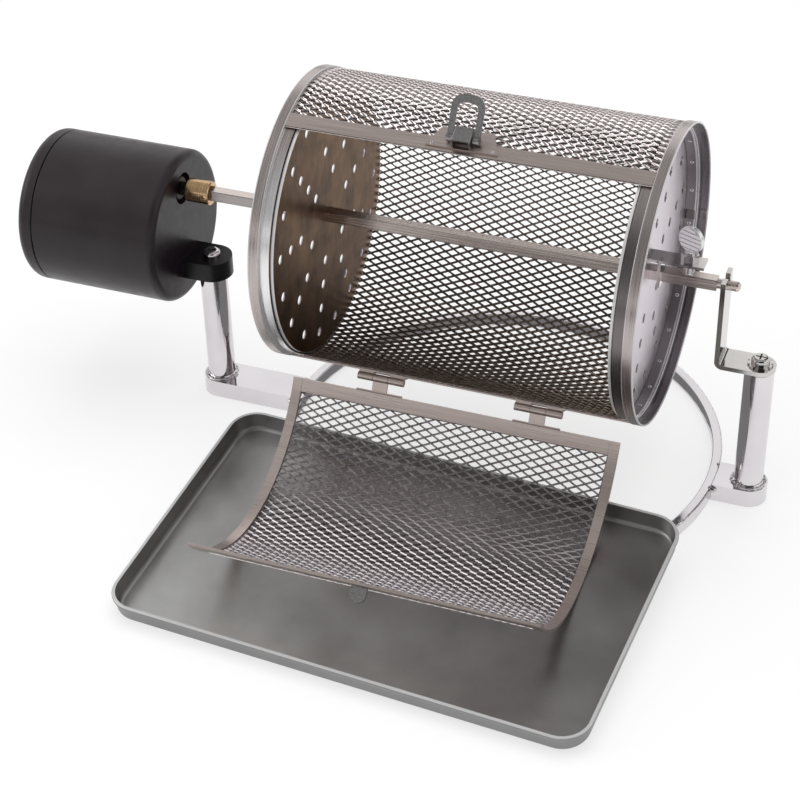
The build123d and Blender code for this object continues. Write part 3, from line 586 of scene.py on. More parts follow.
rim_side = along(round_brushed, "X", drum_middle)
rim_place = size_of(round_brushed, rim_side)
rim_reach = from_axis(round_brushed, drum_axis)
on_ring = rim_mask(rim_place, rim_step, rim_step + blur)
inside_ring = rim_mask(rim_reach, ring_wall + wall_blur, ring_wall)
stain(round_brushed, both(round_brushed, on_ring, inside_ring), rim_grey)
stain(round_brushed, rim_mask(rim_reach, ledge_wall + wall_blur, ledge_wall), rim_grey)
on_ledge = rim_mask(rim_place, rim_step, rim_step - blur)
below_top = rim_mask(along(round_brushed, "Z", drum_axis.z), ledge_top, ledge_low)
low_ledge = both(round_brushed, on_ledge, below_top)
# Below the top: painted shade on the right ledge, and a painted reflection of the bright floor on the left
# ledge.
stain(round_brushed, both(round_brushed, low_ledge, rim_mask(rim_side, -mm, mm)), ledge_painted_shade)
stain(round_brushed, both(round_brushed, low_ledge, rim_mask(rim_side, mm, -mm)), ledge_painted_reflection)
outer_edge = rim_mask(rim_place, rim_end - edge_width - blur, rim_end - edge_width)
inner_edge = rim_mask(rim_place, rim_start + gap_width + blur, rim_start + gap_width)
from_step = size_of(round_brushed, shifted(round_brushed, rim_place, rim_step))
step_edge = rim_mask(from_step, step_width + blur, step_width)
# Painted shade in the gap at the inner edge, and painted highlights on the outer edge and the step.
stain(round_brushed, inner_edge, gap_painted_shade)
paint_highlight(round_brushed, either(round_brushed, outer_edge, step_edge), edge_highlight)
paint(round_brushed, "left_rim_band", "right_rim_band")

# %% [markdown]
# ### Square rod
# The rod is drawn square bar, with fine marks along it. Outside the left rim its front face carries painted
# shade, greyer than the rest. One mask for the end and one for the face, multiplied, give just that part the
# painted shade.

# %% Square rod
rod_face_shade = (0.36, 0.33, 0.32)
rod_brushed = brushed("rod_brushed_along", stretch=(20, 2600, 2600), dark=(0.58, 0.51, 0.48),
                      light=(0.77, 0.68, 0.64), rough=0.22)
rod_low, rod_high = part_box("drive_rod")
rod_front = (rod_low.y - rod_high.y) / 2
rod_end = border(rod_brushed, along(rod_brushed, "X"), rim_left, rim_left - mm)
rod_depth = along(rod_brushed, "Y", drum_axis.y)
rod_face = border(rod_brushed, rod_depth, rod_front + 0.3 * mm, rod_front + 0.1 * mm)
# Painted shade on the rod's front face outside the left rim.
stain(rod_brushed, both(rod_brushed, rod_end, rod_face), rod_face_shade)
paint(rod_brushed, "drive_rod")

# %% [markdown]
# ### Latch
# The box, the pin and the loop of the latch and the keeper on the door are small stampings, tumbled to a
# dark grainy grey. Fine noise, the same in all directions, gives the grain.

# %% Tumbled steel of the latch
latch_grey, latch_specks = speckled("latch_grey", (1400, 1400, 1400), detail=3.0, dark=(0.24, 0.23, 0.23),
                                    light=(0.44, 0.43, 0.43), smooth=0.28, rough=0.46)
roughen(latch_grey, latch_specks, 0.04 * mm)
paint(latch_grey, "latch_box", "latch_pin", "latch_loop", "door_keeper")

# %% [markdown]
# ### End pans
# The pans are satin sheet, pale and slightly blue outside. Their inner faces are browned in patches by oil
# and heat, and darker still as painted shade inside the drum. The narrow flange that carries the rim is a
# darker grey than the disc, with a painted highlight on its outer edge. The cut edge of the disc carries a
# painted highlight, a bright line inside the rim. The distances from the drum's axis and from its middle
# tell these places apart.

# %% Satin sheet of the end pans
pan_inner_face = 84.2 * mm
pan_outer_face = 84.6 * mm
flange_start = 70.6 * mm
disc_edge = 72.0 * mm
mesh_side = 85.8 * mm
flange_grey = (0.30, 0.28, 0.29)
flange_highlight = (0.90, 0.88, 0.89)
disc_highlight = (0.88, 0.85, 0.84)
brown_and_shade_dark = (0.10, 0.05, 0.023)
brown_and_shade_light = (0.28, 0.16, 0.08)
pan_satin = brushed("pan_satin", stretch=(300, 1400, 40), dark=(0.72, 0.67, 0.72),
                    light=(0.84, 0.78, 0.84), rough=0.34)
pan_reach = from_axis(pan_satin, drum_axis)
pan_place = size_of(pan_satin, along(pan_satin, "X", drum_middle))
stain(pan_satin, border(pan_satin, pan_reach, flange_start - 0.6 * mm, flange_start), flange_grey)
flange_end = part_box("right_end_pan")[1].x - drum_middle
flange_edge = border(pan_satin, pan_place, flange_end - 0.8 * mm, flange_end - 0.5 * mm)
# Painted highlight on the flange's outer edge.
stain(pan_satin, flange_edge, flange_highlight)
pan_inside = border(pan_satin, pan_place, pan_outer_face, pan_inner_face)
# Brown patches inside the pans: partly wear from roasting, partly painted shade inside the drum.
patchy_wear_and_shade(pan_satin, pan_inside, grain(pan_satin, (70, 70, 70), detail=5.0), brown_and_shade_dark, brown_and_shade_light)
near_mesh = border(pan_satin, pan_place, mesh_side + 0.4 * mm, mesh_side)
at_edge = border(pan_satin, pan_reach, disc_edge - 0.1 * mm, disc_edge)
# Painted highlight on the cut edge of the disc.
paint_highlight(pan_satin, both(pan_satin, near_mesh, at_edge), disc_highlight)
paint(pan_satin, "left_end_pan", "right_end_pan")

# %% [markdown]
# ### Tray
# The tray is a plain grey steel sheet, cloudy from use, with fine scratches along its length, and darker
# towards the right with painted shade from the door and a painted reflection of the dark room. It lies
# turned and tilted, so the masks for its rim and walls count from its own middle, in its own directions: the
# slide gives the turn, and the largest face that looks up gives the tilt. The walls carry painted shade,
# darker than the floor, most of all outside, and the rolled edge carries a painted highlight, a bright line.
# Which side of a wall a point is on shows in its normal.

# %% Grey sheet of the tray
tray_grey = new_finish("tray_grey", 1.0)
tray_cloud = grain(tray_grey, (22, 22, 22), detail=5.0)
vary_colour(tray_grey, tray_cloud, (0.48, 0.475, 0.465), (0.72, 0.72, 0.705))
vary_roughness(tray_grey, grain(tray_grey, (45, 45, 45), detail=5.0), 0.30, 0.46)
roughen(tray_grey, grain(tray_grey, (120, 1800, 1800), detail=3.0), 0.02 * mm)
print("finish", tray_grey.name)

# %% The tray's own directions
tray_mesh = nodes["tray"].data
tray_floor = max((face for face in tray_mesh.polygons if face.normal.z > 0.9), key=lambda face: face.area)
slide_way = joints["tray_slide"]["axis"]
tray_turn = (tray_floor.normal.angle(Vector((0, 0, 1))), 0, atan2(slide_way[1], slide_way[0]))
tray_low, tray_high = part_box("tray")
tray_middle = (tray_low + tray_high) / 2
to_tray = Euler(tray_turn).to_matrix().inverted()
tray_points = [to_tray @ (vertex.co - tray_middle) for vertex in tray_mesh.vertices]
tray_half = [max(abs(point[axis]) for point in tray_points) for axis in range(2)]
tray_top = max(point.z for point in tray_points)
print("tray half sizes", [round(v, 4) for v in tray_half], "turn", [round(v, 4) for v in tray_turn])


# %% Helpers for places on the tray
def in_tray(material):
    """Place in the tray's own directions, counted from its middle."""
    tree = material.node_tree
    where = tree.nodes.new("ShaderNodeTexCoord")
    back_turn = tree.nodes.new("ShaderNodeMapping")
    back_turn.vector_type = "TEXTURE"
    back_turn.inputs["Location"].default_value = tray_middle
    back_turn.inputs["Rotation"].default_value = tray_turn
    tree.links.new(where.outputs["Object"], back_turn.inputs["Vector"])
    return back_turn.outputs["Vector"]


def facing_out(material, place):
    """1 on the outer side of a wall, -1 on its inner side and 0 on the floor."""
    tree = material.node_tree
    where = tree.nodes.new("ShaderNodeTexCoord")
    reach = tree.nodes.new("ShaderNodeVectorMath")
    reach.operation = "MULTIPLY"
    reach.inputs[1].default_value = (1 / tray_half[0], 1 / tray_half[1], 0)
    facing = tree.nodes.new("ShaderNodeVectorMath")
    facing.operation = "DOT_PRODUCT"
    tree.links.new(place, reach.inputs[0])
    tree.links.new(reach.outputs[0], facing.inputs[0])
    tree.links.new(where.outputs["Normal"], facing.inputs[1])
    return facing.outputs["Value"]


# %% Painted shade on the right side and the walls, and a painted highlight on the rim of the tray
right_shade_start = -40 * mm
right_shade_end = 70 * mm
inner_wall_shade = (0.34, 0.33, 0.33)
outer_wall_shade = (0.28, 0.28, 0.28)
tray_rim_highlight = (0.66, 0.66, 0.66)
tray_place = in_tray(tray_grey)
tray_parts = tray_grey.node_tree.nodes.new("ShaderNodeSeparateXYZ")
tray_grey.node_tree.links.new(tray_place, tray_parts.inputs[0])
# Painted shade from the door and a painted reflection of the dark room, darker towards the right.
shaded_right = border(tray_grey, tray_parts.outputs["X"], right_shade_start, right_shade_end)
patchy_wear_and_shade(tray_grey, shaded_right, tray_cloud, (0.28, 0.27, 0.265), (0.46, 0.45, 0.445))
tray_facing = facing_out(tray_grey, tray_place)
# Painted shade on the inner and the outer walls.
stain(tray_grey, border(tray_grey, tray_facing, -0.3, -0.7), inner_wall_shade)
stain(tray_grey, border(tray_grey, tray_facing, 0.3, 0.6), outer_wall_shade)
rim_top = border(tray_grey, tray_parts.outputs["Z"], tray_top - 0.3 * mm, tray_top - 0.15 * mm)
# Painted highlight along the rolled rim.
paint_highlight(tray_grey, rim_top, tray_rim_highlight)
paint(tray_grey, "tray")

# %% [markdown]
# ### Motor
# The motor's housing is moulded in black plastic with a fine eggshell surface. Its front face is a little
# darker than the round wall, its lug is blacker still, and the seam between body and cap carries a dark line
# of painted shade.
# Each of these is a mask on the distance along the motor's axis.

# %% Black moulded plastic
black_plastic = new_finish("black_plastic", 0.0)
plastic_cloud = grain(black_plastic, (35, 35, 35), detail=4.0)
vary_colour(black_plastic, plastic_cloud, (0.023, 0.017, 0.019), (0.035, 0.027, 0.030))
vary_roughness(black_plastic, grain(black_plastic, (200, 200, 200), detail=4.0), 0.28, 0.38)
roughen(black_plastic, grain(black_plastic, (2500, 2500, 2500)), 0.03 * mm)
black_plastic.node_tree.nodes["Principled BSDF"].inputs["Specular IOR Level"].default_value = 0.3
print("finish", black_plastic.name)

# %% Darker parts of the motor
face_black = (0.014, 0.008, 0.012)
lug_black = (0.004, 0.003, 0.004)
seam_painted_shade = (0.002, 0.002, 0.002)
motor_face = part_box("gearbox_plate")[1].x + 1.1 * mm
motor_place = along(black_plastic, "X")
on_face = border(black_plastic, motor_place, motor_face - 0.4 * mm, motor_face - 0.2 * mm)
stain(black_plastic, on_face, face_black)
lug_start = motor_face + 1.4 * mm
on_lug = border(black_plastic, motor_place, lug_start, lug_start + 0.4 * mm)
stain(black_plastic, on_lug, lug_black)
cap_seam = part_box("rear_cap")[1].x
from_seam = size_of(black_plastic, along(black_plastic, "X", cap_seam))
# Painted shade: a dark line along the seam between body and cap.
stain(black_plastic, border(black_plastic, from_seam, 0.7 * mm, 0.3 * mm), seam_painted_shade)
paint(black_plastic, "motor_housing", "rear_cap")

# %% [markdown]
# ### Brass
# The coupling and its screws are turned from brass, and a lathe leaves marks that run round the axis. Noise
# with many changes along the axis and few round it gives them. The gears and the coil, hidden inside the
# motor, have the same finish.

# %% Brass
brass, turning_marks = speckled("turned_brass", (3000, 60, 60), detail=3.0, dark=(0.48, 0.30, 0.155),
                                light=(0.74, 0.52, 0.30), smooth=0.12, rough=0.26)
roughen(brass, turning_marks, 0.008 * mm)
paint(brass, "coupling", "coupling_screws", "output_gear", "idler_gear", "stator_coil")

# %% [markdown]
# ### Small steel pieces and rubber
# The can, the screws of the cap, the pins and the rotor are zinc-plated, cloudy and a little blue. The plate
# behind the motor's round opening, with its screws and shaft, is painted near black as shade deep in the
# opening. The grommet at the back is soft rubber, rough and almost without shine.

# %% Zinc plating, painted shade in the motor's opening, and rubber
zinc = speckled("zinc_plating", (260, 260, 260), detail=4.0, dark=(0.48, 0.49, 0.51),
                light=(0.60, 0.61, 0.62), smooth=0.28, rough=0.44)[0]
paint(zinc, "motor_can", "cap_screws", "gear_pins", "rotor")
# Painted shade: near black on the plate, screws and shaft deep in the motor's opening.
recess_shade = speckled("recess_painted_shade", (300, 300, 300), detail=4.0, dark=(0.02, 0.018, 0.016),
                     light=(0.08, 0.07, 0.06), smooth=0.4, rough=0.6)[0]
paint(recess_shade, "gearbox_plate", "motor_screws", "output_shaft")
rubber = new_finish("black_rubber", 0.0)
vary_colour(rubber, grain(rubber, (150, 150, 150), detail=4.0), (0.02, 0.02, 0.02), (0.04, 0.04, 0.038))
vary_roughness(rubber, grain(rubber, (900, 900, 900), detail=3.0), 0.65, 0.85)
roughen(rubber, grain(rubber, (2500, 2500, 2500)), 0.04 * mm)
paint(rubber, "cord_grommet")

# %% [markdown]
# ## Expanded metal
# The drum and the door are of expanded metal: a sheet is slit and pulled so that each slit opens to a
# diamond, and the strands between the diamonds stand tilted like louvres. A grid whose squares are poked,
# with the old grid lines dissolved, is a field of diamonds. Each diamond gets an inset, which makes the
# strands, and its middle is deleted. Then the lower edge of each hole moves outwards and the upper edge
# inwards, which tilts the strands. Solidify gives them thickness, and Simple Deform bends the flat field
# round the drum. A smooth sheet with painted holes would be quicker, but it would show no strands from the
# side.

# %% Helpers for edit mode
def select_where(piece, kind, test):
    """Select the vertices, edges or faces of a piece that pass a test, and stay in edit mode."""
    bpy.ops.object.mode_set(mode="EDIT")
    bpy.ops.mesh.select_mode(type=kind)
    bpy.ops.mesh.select_all(action="DESELECT")
    grid = bmesh.from_edit_mesh(piece.data)
    elements = {"VERT": grid.verts, "EDGE": grid.edges, "FACE": grid.faces}
    for element in elements[kind]:
        element.select_set(test(element))
    bmesh.update_edit_mesh(piece.data)


def inner_straight(edge):
    """True for a grid line inside the sheet."""
    run = edge.verts[1].co - edge.verts[0].co
    straight = min(abs(run.x), abs(run.z)) < 0.01 * mm
    return straight and not edge.is_boundary


# %% Flat field of diamonds
def diamond_field(name, width, height, columns, rows):
    """Flat sheet of diamonds in the XZ plane; its lower left corner is at the origin."""
    bpy.ops.object.select_all(action="DESELECT")
    bpy.ops.mesh.primitive_grid_add(x_subdivisions=columns, y_subdivisions=rows, size=1,
                                    rotation=(pi / 2, 0, 0))
    sheet = bpy.context.object
    sheet.name = name
    sheet.scale = (width, height, 1)
    sheet.location = (width / 2, 0, height / 2)
    bpy.ops.object.transform_apply()
    bpy.ops.object.mode_set(mode="EDIT")
    bpy.ops.mesh.select_mode(type="FACE")
    bpy.ops.mesh.select_all(action="SELECT")
    bpy.ops.mesh.poke()
    select_where(sheet, "EDGE", inner_straight)
    bpy.ops.mesh.dissolve_edges(use_verts=False)
    return sheet


# %% Strands and holes
hole_mark = 1


def mark_holes(sheet, strand, corner):
    """Leave strands this wide round each hole, mark the holes and round off their sharp side corners."""
    bpy.ops.mesh.select_mode(type="FACE")
    bpy.ops.mesh.select_all(action="SELECT")
    bpy.ops.mesh.inset(thickness=strand / 2, use_individual=True)
    grid = bmesh.from_edit_mesh(sheet.data)
    sharp = []
    for face in grid.faces:
        face.material_index = hole_mark if face.select else 0
        if face.select and len(face.verts) == 4:
            middle = face.calc_center_median()
            sharp += [v for v in face.verts if abs(v.co.z - middle.z) < 0.2 * mm]
    bpy.ops.mesh.select_mode(type="VERT")
    bpy.ops.mesh.select_all(action="DESELECT")
    for vertex in sharp:
        vertex.select_set(True)
    bmesh.update_edit_mesh(sheet.data)
    bpy.ops.mesh.bevel(offset=corner, affect="VERTICES")


# %% Opening and tilting
smallest_hole = 0.6 * mm * mm


def move_group(sheet, group, distance):
    """Move the vertices with these indices along Y."""
    bpy.ops.mesh.select_all(action="DESELECT")
    grid = bmesh.from_edit_mesh(sheet.data)
    grid.verts.ensure_lookup_table()
    for index in group:
        grid.verts[index].select_set(True)
    bmesh.update_edit_mesh(sheet.data)
    bpy.ops.transform.translate(value=(0, distance, 0))


def open_holes(sheet, rise):
    """Delete the holes and move their upper edges in and their lower edges out by this rise."""
    bpy.ops.mesh.select_mode(type="FACE")
    bpy.ops.mesh.select_all(action="DESELECT")
    grid = bmesh.from_edit_mesh(sheet.data)
    grid.verts.index_update()
    upper = set()
    lower = set()
    for face in grid.faces:
        if face.material_index == hole_mark and face.calc_area() > smallest_hole:
            face.select_set(True)
            middle = face.calc_center_median()
            upper.update(v.index for v in face.verts if v.co.z > middle.z + 0.05 * mm)
            lower.update(v.index for v in face.verts if v.co.z < middle.z - 0.05 * mm)
    bmesh.update_edit_mesh(sheet.data)
    bpy.ops.mesh.delete(type="ONLY_FACE")
    bpy.ops.mesh.select_mode(type="VERT")
    move_group(sheet, upper, rise)
    move_group(sheet, lower, -rise)
    grid = bmesh.from_edit_mesh(sheet.data)
    for face in grid.faces:
        face.material_index = 0
    bmesh.update_edit_mesh(sheet.data)
    bpy.ops.object.mode_set(mode="OBJECT")


# %% Bend a field round the drum
def bend_round(sheet, left, radius, start, thickness, axis):
    """Thicken the flat sheet and bend it round an axis, its lower edge at this angle from the front."""
    angle = max(v.co.z for v in sheet.data.vertices) / radius
    sheet.location = (left, 0, radius * radians(start))
    bpy.ops.object.transform_apply(location=True, rotation=False, scale=False)
    wall = sheet.modifiers.new("strand_thickness", "SOLIDIFY")
    wall.thickness = thickness
    wall.offset = 0
    bpy.ops.object.modifier_apply(modifier=wall.name)
    curl = sheet.modifiers.new("curl", "SIMPLE_DEFORM")
    curl.deform_method = "BEND"
    curl.deform_axis = "X"
    curl.angle = angle
    bpy.ops.object.modifier_apply(modifier=curl.name)
    sheet.location = (0, axis.y - radius, axis.z)
    bpy.ops.object.transform_apply(location=True, rotation=False, scale=False)


# %% [markdown]
# ### Finish of the expanded metal
# Outside, the strands are bright. The faces that look towards the drum's axis get a second, darker material,
# which is painted shade on the inner side of the strands: in the drum it is browned as well, like the end
# pans, and on the door it is a duller grey. Faces are told apart by their normal.

# %% Finishes for the expanded metal
def strand_finish(name, dark, light, rough):
    """Steel with fine clouds in its colour and roughness."""
    return speckled(name, (400, 400, 400), 3.0, dark, light, rough - 0.06, rough + 0.1)[0]


strand_bright = strand_finish("expanded_steel", dark=(0.68, 0.62, 0.61), light=(0.87, 0.80, 0.79),
                              rough=0.2)
# The two inner finishes are painted shade; the drum's is browned as well.
strand_brown_and_shade = strand_finish("expanded_steel_inside", dark=(0.14, 0.11, 0.09), light=(0.30, 0.26, 0.23),
                               rough=0.34)
strand_door_shade = strand_finish("expanded_steel_door_inside", dark=(0.32, 0.29, 0.30), light=(0.58, 0.54, 0.55),
                            rough=0.24)
print("strands", strand_bright.name, strand_brown_and_shade.name, strand_door_shade.name)


def finish_strands(sheet, middle, inside):
    """Bright outside, with a darker finish of painted shade on the faces that look towards the axis."""
    sheet.data.materials.append(strand_bright)
    sheet.data.materials.append(inside)
    for face in sheet.data.polygons:
        outwards = face.center - middle
        outwards.x = 0
        face.material_index = 1 if face.normal.dot(outwards) < 0 else 0


# %% [markdown]
# ### Mesh of the drum and of the door
# The start and the end of each sheet are angles in degrees from the front of the drum, counted upwards. The
# door is bent as if it were shut, which gives it the drum's own curve, and then swung open about its hinge.

# %% Drum mesh
skin_low, skin_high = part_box("drum_skin")
skin_radius = 73.6 * mm
skin_start = 64
skin_end = 303
skin_columns = 22
skin_rows = 75
skin_strand = 0.95 * mm
skin_rise = 0.45 * mm
skin_thickness = 0.36 * mm
hole_corner = 0.4 * mm
skin_width = skin_high.x - skin_low.x
skin_height = skin_radius * radians(skin_end - skin_start)
drum_mesh = diamond_field("drum_mesh", skin_width, skin_height, skin_columns, skin_rows)
mark_holes(drum_mesh, skin_strand, hole_corner)
open_holes(drum_mesh, skin_rise)
bend_round(drum_mesh, skin_low.x, skin_radius, skin_start, skin_thickness, drum_axis)
finish_strands(drum_mesh, drum_axis, strand_brown_and_shade)
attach(drum_mesh, "drum")
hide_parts("drum_skin")
print("drum mesh", len(drum_mesh.data.polygons), "faces", tuple(round(v, 4) for v in drum_mesh.dimensions))

# %% Door mesh
hinge = Vector(joints["door_swing"]["pos_m"])
door_open = radians(joints["door_swing"]["range_deg"][1])
mesh_low, mesh_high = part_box("door_mesh")
door_radius = 76.3 * mm
door_start = -47.72
door_end = 60.46
door_columns = 20
door_rows = 35
door_strand = 0.8 * mm
door_rise = 0.42 * mm
door_thickness = 0.32 * mm
door_width = mesh_high.x - mesh_low.x
door_height = door_radius * radians(door_end - door_start)
door_net = diamond_field("door_net", door_width, door_height, door_columns, door_rows)
mark_holes(door_net, door_strand, hole_corner)
open_holes(door_net, door_rise)
bend_round(door_net, mesh_low.x, door_radius, door_start, door_thickness, drum_axis)
finish_strands(door_net, drum_axis, strand_door_shade)
to_hinge = Matrix.Translation(hinge)
door_net.matrix_world = to_hinge @ Matrix.Rotation(door_open, 4, "X") @ to_hinge.inverted()
bpy.ops.object.transform_apply()
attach(door_net, "door")
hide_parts("door_mesh")
print("door mesh", len(door_net.data.polygons), "faces", tuple(round(v, 4) for v in door_net.dimensions))

# %% [markdown]
# ## Welds
# The stand and the drum are welded, and welds show as lumps, so they are shapes and not only a bump in a
# material. A round bead runs about the foot of each post. It starts as a torus: every third ring of its
# vertices is fattened, which makes the ripples, and a displacement with a cloud pattern makes it lumpy.

# %% Helpers for small pieces
def lump(piece, grain_size, height):
    """Displace a piece with a cloud pattern in its own place."""
    cloud = bpy.data.textures.new(piece.name + "_lumps", "CLOUDS")
    cloud.noise_scale = grain_size
    push = piece.modifiers.new("lumps", "DISPLACE")
    push.texture = cloud
    push.texture_coords = "LOCAL"
    push.strength = height
    bpy.ops.object.modifier_apply(modifier=push.name)


def finish_piece(piece, body, material):
    """Smooth a new piece, give it a finish and tie it to its body."""
    piece.data.materials.clear()
    piece.data.materials.append(material)
    for face in piece.data.polygons:
        face.use_smooth = True
    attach(piece, body)
    print(piece.name, len(piece.data.polygons), "faces")


def copies(piece, name, places):
    """Copy a piece that is made round the origin to each place, a matrix, and join the copies."""
    made = []
    for place in places:
        twin = piece.copy()
        twin.data = piece.data.copy()
        bpy.context.collection.objects.link(twin)
        twin.matrix_world = place
        made.append(twin)
    bpy.data.objects.remove(piece)
    bpy.ops.object.select_all(action="DESELECT")
    for twin in made:
        twin.select_set(True)
    bpy.context.view_layer.objects.active = made[0]
    bpy.ops.object.transform_apply()
    bpy.ops.object.join()
    joined = bpy.context.object
    joined.name = name
    return joined


# %% Beads at the feet of the posts
weld_grey = plated("weld_grey", dark=(0.36, 0.34, 0.34), light=(0.70, 0.67, 0.68), rough=0.16)
bead_steps = 72
steps_per_ripple = 3
bead_radius = 0.8 * mm
bead_inset = 0.9 * mm
ripple_height = 0.22 * mm


def post_bead(name, post):
    """Rippled bead of weld round the foot of a post."""
    foot_low, foot_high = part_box(post)
    foot = (foot_low + foot_high) / 2
    reach = (foot_high.x - foot_low.x) / 2
    bpy.ops.object.select_all(action="DESELECT")
    bpy.ops.mesh.primitive_torus_add(location=(foot.x, foot.y, foot_low.z + bead_radius / 2),
                                     major_radius=reach - bead_inset, minor_radius=bead_radius,
                                     major_segments=bead_steps, minor_segments=10)
    bead = bpy.context.object
    bead.name = name
    bpy.ops.object.transform_apply()

    def on_ripple(vertex):
        """True on every ring of vertices that starts a ripple."""
        turn = atan2(vertex.co.y - foot.y, vertex.co.x - foot.x)
        return round(turn / (2 * pi) * bead_steps) % steps_per_ripple == 0

    select_where(bead, "VERT", on_ripple)
    bpy.ops.transform.shrink_fatten(value=ripple_height)
    bpy.ops.object.mode_set(mode="OBJECT")
    lump(bead, grain_size=1.6 * mm, height=1.2 * mm)
    finish_piece(bead, "stand", weld_grey)


post_bead("left_post_weld", "left_post")
post_bead("right_post_weld", "right_post")

# %% [markdown]
# ### Blobs where the arms meet the ring
# A short weld fills the corner on each side of an arm. A sphere is flattened a little, copied to both
# corners and displaced with a cloud pattern. The pattern goes by the place, so no two blobs are alike.

# %% Blobs where the arms meet the ring
blob_radius = 2.2 * mm
blob_shape = (1.1, 1.0, 0.75)


def arm_blobs(name, corners):
    """Flat lumpy blob at each corner between an arm and the ring."""
    bpy.ops.object.select_all(action="DESELECT")
    bpy.ops.mesh.primitive_ico_sphere_add(subdivisions=3, radius=blob_radius)
    blob = bpy.context.object
    blob.name = name
    bpy.ops.object.mode_set(mode="EDIT")
    bpy.ops.mesh.select_all(action="SELECT")
    bpy.ops.transform.resize(value=blob_shape)
    bpy.ops.object.mode_set(mode="OBJECT")
    joined = copies(blob, name, [Matrix.Translation(corner) for corner in corners])
    lump(joined, grain_size=2.0 * mm, height=0.9 * mm)
    finish_piece(joined, "stand", weld_grey)


ring_reach = (ring_high.x - ring_low.x) / 2
arm_low, arm_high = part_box("left_arm")
arm_half = (arm_high.y - arm_low.y) / 2
corner_x = (ring_reach ** 2 - arm_half ** 2) ** 0.5 + 0.4 * mm
corner_z = ring_high.z - 0.6 * mm


def arm_corners(x):
    """The two corners beside an arm."""
    return [Vector((x, ring_middle.y + way * arm_half, corner_z)) for way in (-1, 1)]


arm_blobs("left_arm_welds", arm_corners(ring_middle.x - corner_x))
arm_blobs("right_arm_welds", arm_corners(ring_middle.x + corner_x))

# %% [markdown]
# ### Spot welds
# Each pan is fixed to its rim by small spot welds in the flange, dimples with a raised edge at even steps,
# and the latch plate has one at each end. A dot is a short cylinder whose top is inset and pushed in,
# modelled once and copied to its places, because all are alike.

# %% Helpers for spot welds
def on_drum(x, reach, angle, way):
    """Place on the drum at this reach from its axis and angle from the front; way 1 faces out, -1 in."""
    outwards = Vector((0, -cos(radians(angle)), sin(radians(angle))))
    spot = Vector((x, drum_axis.y, drum_axis.z)) + reach * outwards
    turn = (way * outwards).to_track_quat("Z", "Y").to_matrix().to_4x4()
    return Matrix.Translation(spot) @ turn


def spot_weld(radius, height):
    """Round dimple with a raised edge that stands out towards +Z, its lower half sunk below the origin."""
    bpy.ops.object.select_all(action="DESELECT")
    bpy.ops.mesh.primitive_cylinder_add(vertices=12, radius=radius, depth=2 * height)
    dot = bpy.context.object
    select_where(dot, "FACE", lambda face: face.normal.z > 0.9)
    bpy.ops.transform.resize(value=(0.8, 0.8, 1))
    bpy.ops.mesh.inset(thickness=0.25 * radius)
    bpy.ops.mesh.inset(thickness=0.15 * radius)
    bpy.ops.transform.translate(value=(0, 0, -0.6 * height))
    bpy.ops.object.mode_set(mode="OBJECT")
    return dot


# %% Spot welds in the flanges and on the latch plate
flange_inside = 71.25 * mm
flange_middle = flange_end - 2.8 * mm
first_weld = 4
weld_step = 15.5
weld_count = 23
for name, way in (("left_flange_welds", -1), ("right_flange_welds", 1)):
    x = drum_middle + way * flange_middle
    places = [on_drum(x, flange_inside, weld_step * step + first_weld, -1) for step in range(weld_count)]
    dots = copies(spot_weld(radius=1.2 * mm, height=0.35 * mm), name, places)
    finish_piece(dots, "drum", chrome)
plate_low, plate_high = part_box("latch_plate")
plate_middle = (plate_low.x + plate_high.x) / 2
plate_top = 75.85 * mm
plate_angle = 66.5
dot_reach = 15 * mm
plate_places = [on_drum(plate_middle + way * dot_reach, plate_top, plate_angle, 1) for way in (-1, 1)]
plate_dots = copies(spot_weld(radius=0.9 * mm, height=0.3 * mm), "latch_plate_welds", plate_places)
finish_piece(plate_dots, "drum", chrome)

# %% [markdown]
# ### Lapped ends
# The rim and the flange are strips bent to a ring, and where the ends of a strip overlap there is a flat
# step across it. The step is a thin block with its upper edges bevelled, copied to the flange and to the
# outer ring of each drum end.

# %% Lapped ends of the rims and flanges
lap_thickness = 0.6 * mm
lap_lift = 0.15 * mm
lap_bevel = 0.25 * mm


def lap(width, length):
    """Flat step with soft edges, its foot just below the origin."""
    bpy.ops.object.select_all(action="DESELECT")
    bpy.ops.mesh.primitive_cube_add(size=1, location=(0, 0, lap_lift), scale=(width, length, lap_thickness))
    plate = bpy.context.object
    bpy.ops.object.transform_apply()
    select_where(plate, "EDGE", lambda edge: all(vertex.co.z > 0 for vertex in edge.verts))
    bpy.ops.mesh.bevel(offset=lap_bevel, segments=3)
    bpy.ops.object.mode_set(mode="OBJECT")
    return plate


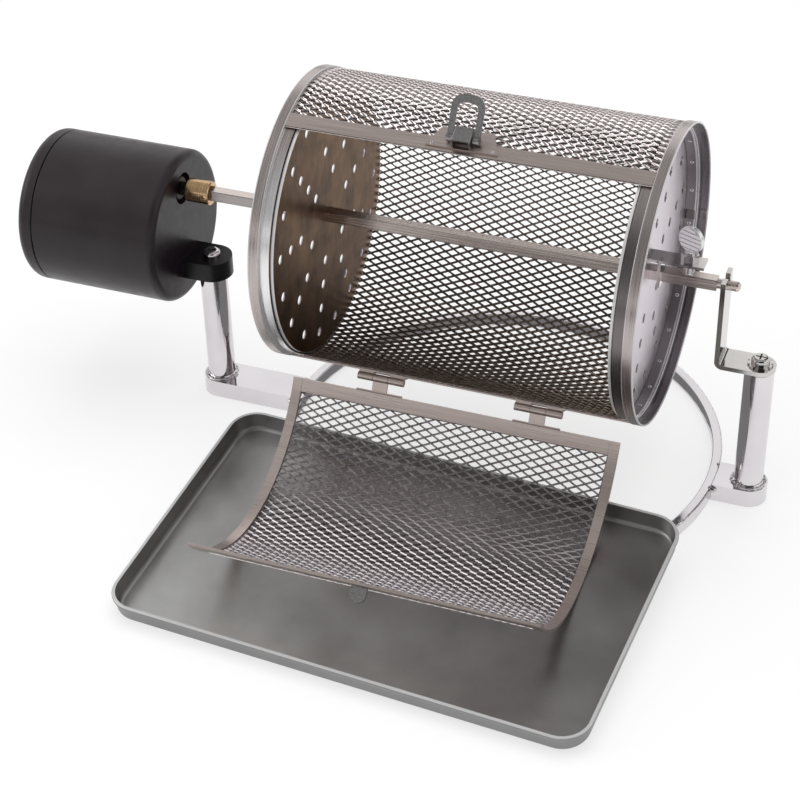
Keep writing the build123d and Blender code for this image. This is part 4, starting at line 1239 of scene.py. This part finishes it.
lap_angle = 186
lap_width = 5.0 * mm
lap_length = 5.2 * mm
ring_inside = 74.2 * mm
flange_half = 2.75 * mm
for side, way in (("left", -1), ("right", 1)):
    flange_x = drum_middle + way * (flange_end - flange_half)
    ring_x = drum_middle + way * (rim_end - ring_width / 2)
    places = [on_drum(flange_x, flange_inside, lap_angle, -1), on_drum(ring_x, ring_inside, lap_angle, -1)]
    steps = copies(lap(lap_width, lap_length), side + "_rim_laps", places)
    finish_piece(steps, "drum", round_brushed)

# %% [markdown]
# ### Thread of the thumb screw
# The screw's shank carries a thread. A bump in the material wouldn't show in the outline of the shank, so
# the ridge is real: a small triangle beside the axis is swept up and round by a screw modifier, and the two
# open ends are filled.

# %% Thread
screw_axis = Vector(joints["thumb_screw_turn"]["pos_m"])
shank_radius = 2.4 * mm
pitch = 0.8 * mm
ridge_radius = 0.36 * mm
steps_per_turn = 20


def thread(name, low, high):
    """Ridge that winds round the shank between two heights."""
    bpy.ops.object.select_all(action="DESELECT")
    bpy.ops.mesh.primitive_circle_add(vertices=3, radius=ridge_radius, location=(shank_radius, 0, 0),
                                      rotation=(pi / 2, 0, 0))
    ridge = bpy.context.object
    ridge.name = name
    bpy.ops.object.transform_apply()
    wind = ridge.modifiers.new("wind", "SCREW")
    wind.steps = steps_per_turn
    wind.render_steps = steps_per_turn
    wind.screw_offset = pitch
    wind.iterations = int((high - low) / pitch)
    bpy.ops.object.modifier_apply(modifier=wind.name)
    bpy.ops.object.mode_set(mode="EDIT")
    bpy.ops.mesh.select_all(action="SELECT")
    bpy.ops.mesh.fill_holes(sides=0)
    bpy.ops.mesh.normals_make_consistent(inside=False)
    bpy.ops.object.mode_set(mode="OBJECT")
    ridge.location = (screw_axis.x, screw_axis.y, low)
    bpy.ops.object.transform_apply()
    finish_piece(ridge, "thumb_screw", chrome)


rod_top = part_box("drive_rod")[1].z
strap_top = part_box("clamp_strap")[1].z
nut_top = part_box("clamp_nut")[1].z
thread("thumb_screw_lower_thread", rod_top + 0.5 * mm, strap_top - 1.9 * mm)
thread("thumb_screw_upper_thread", nut_top + 0.4 * mm, nut_top + 2.0 * mm)
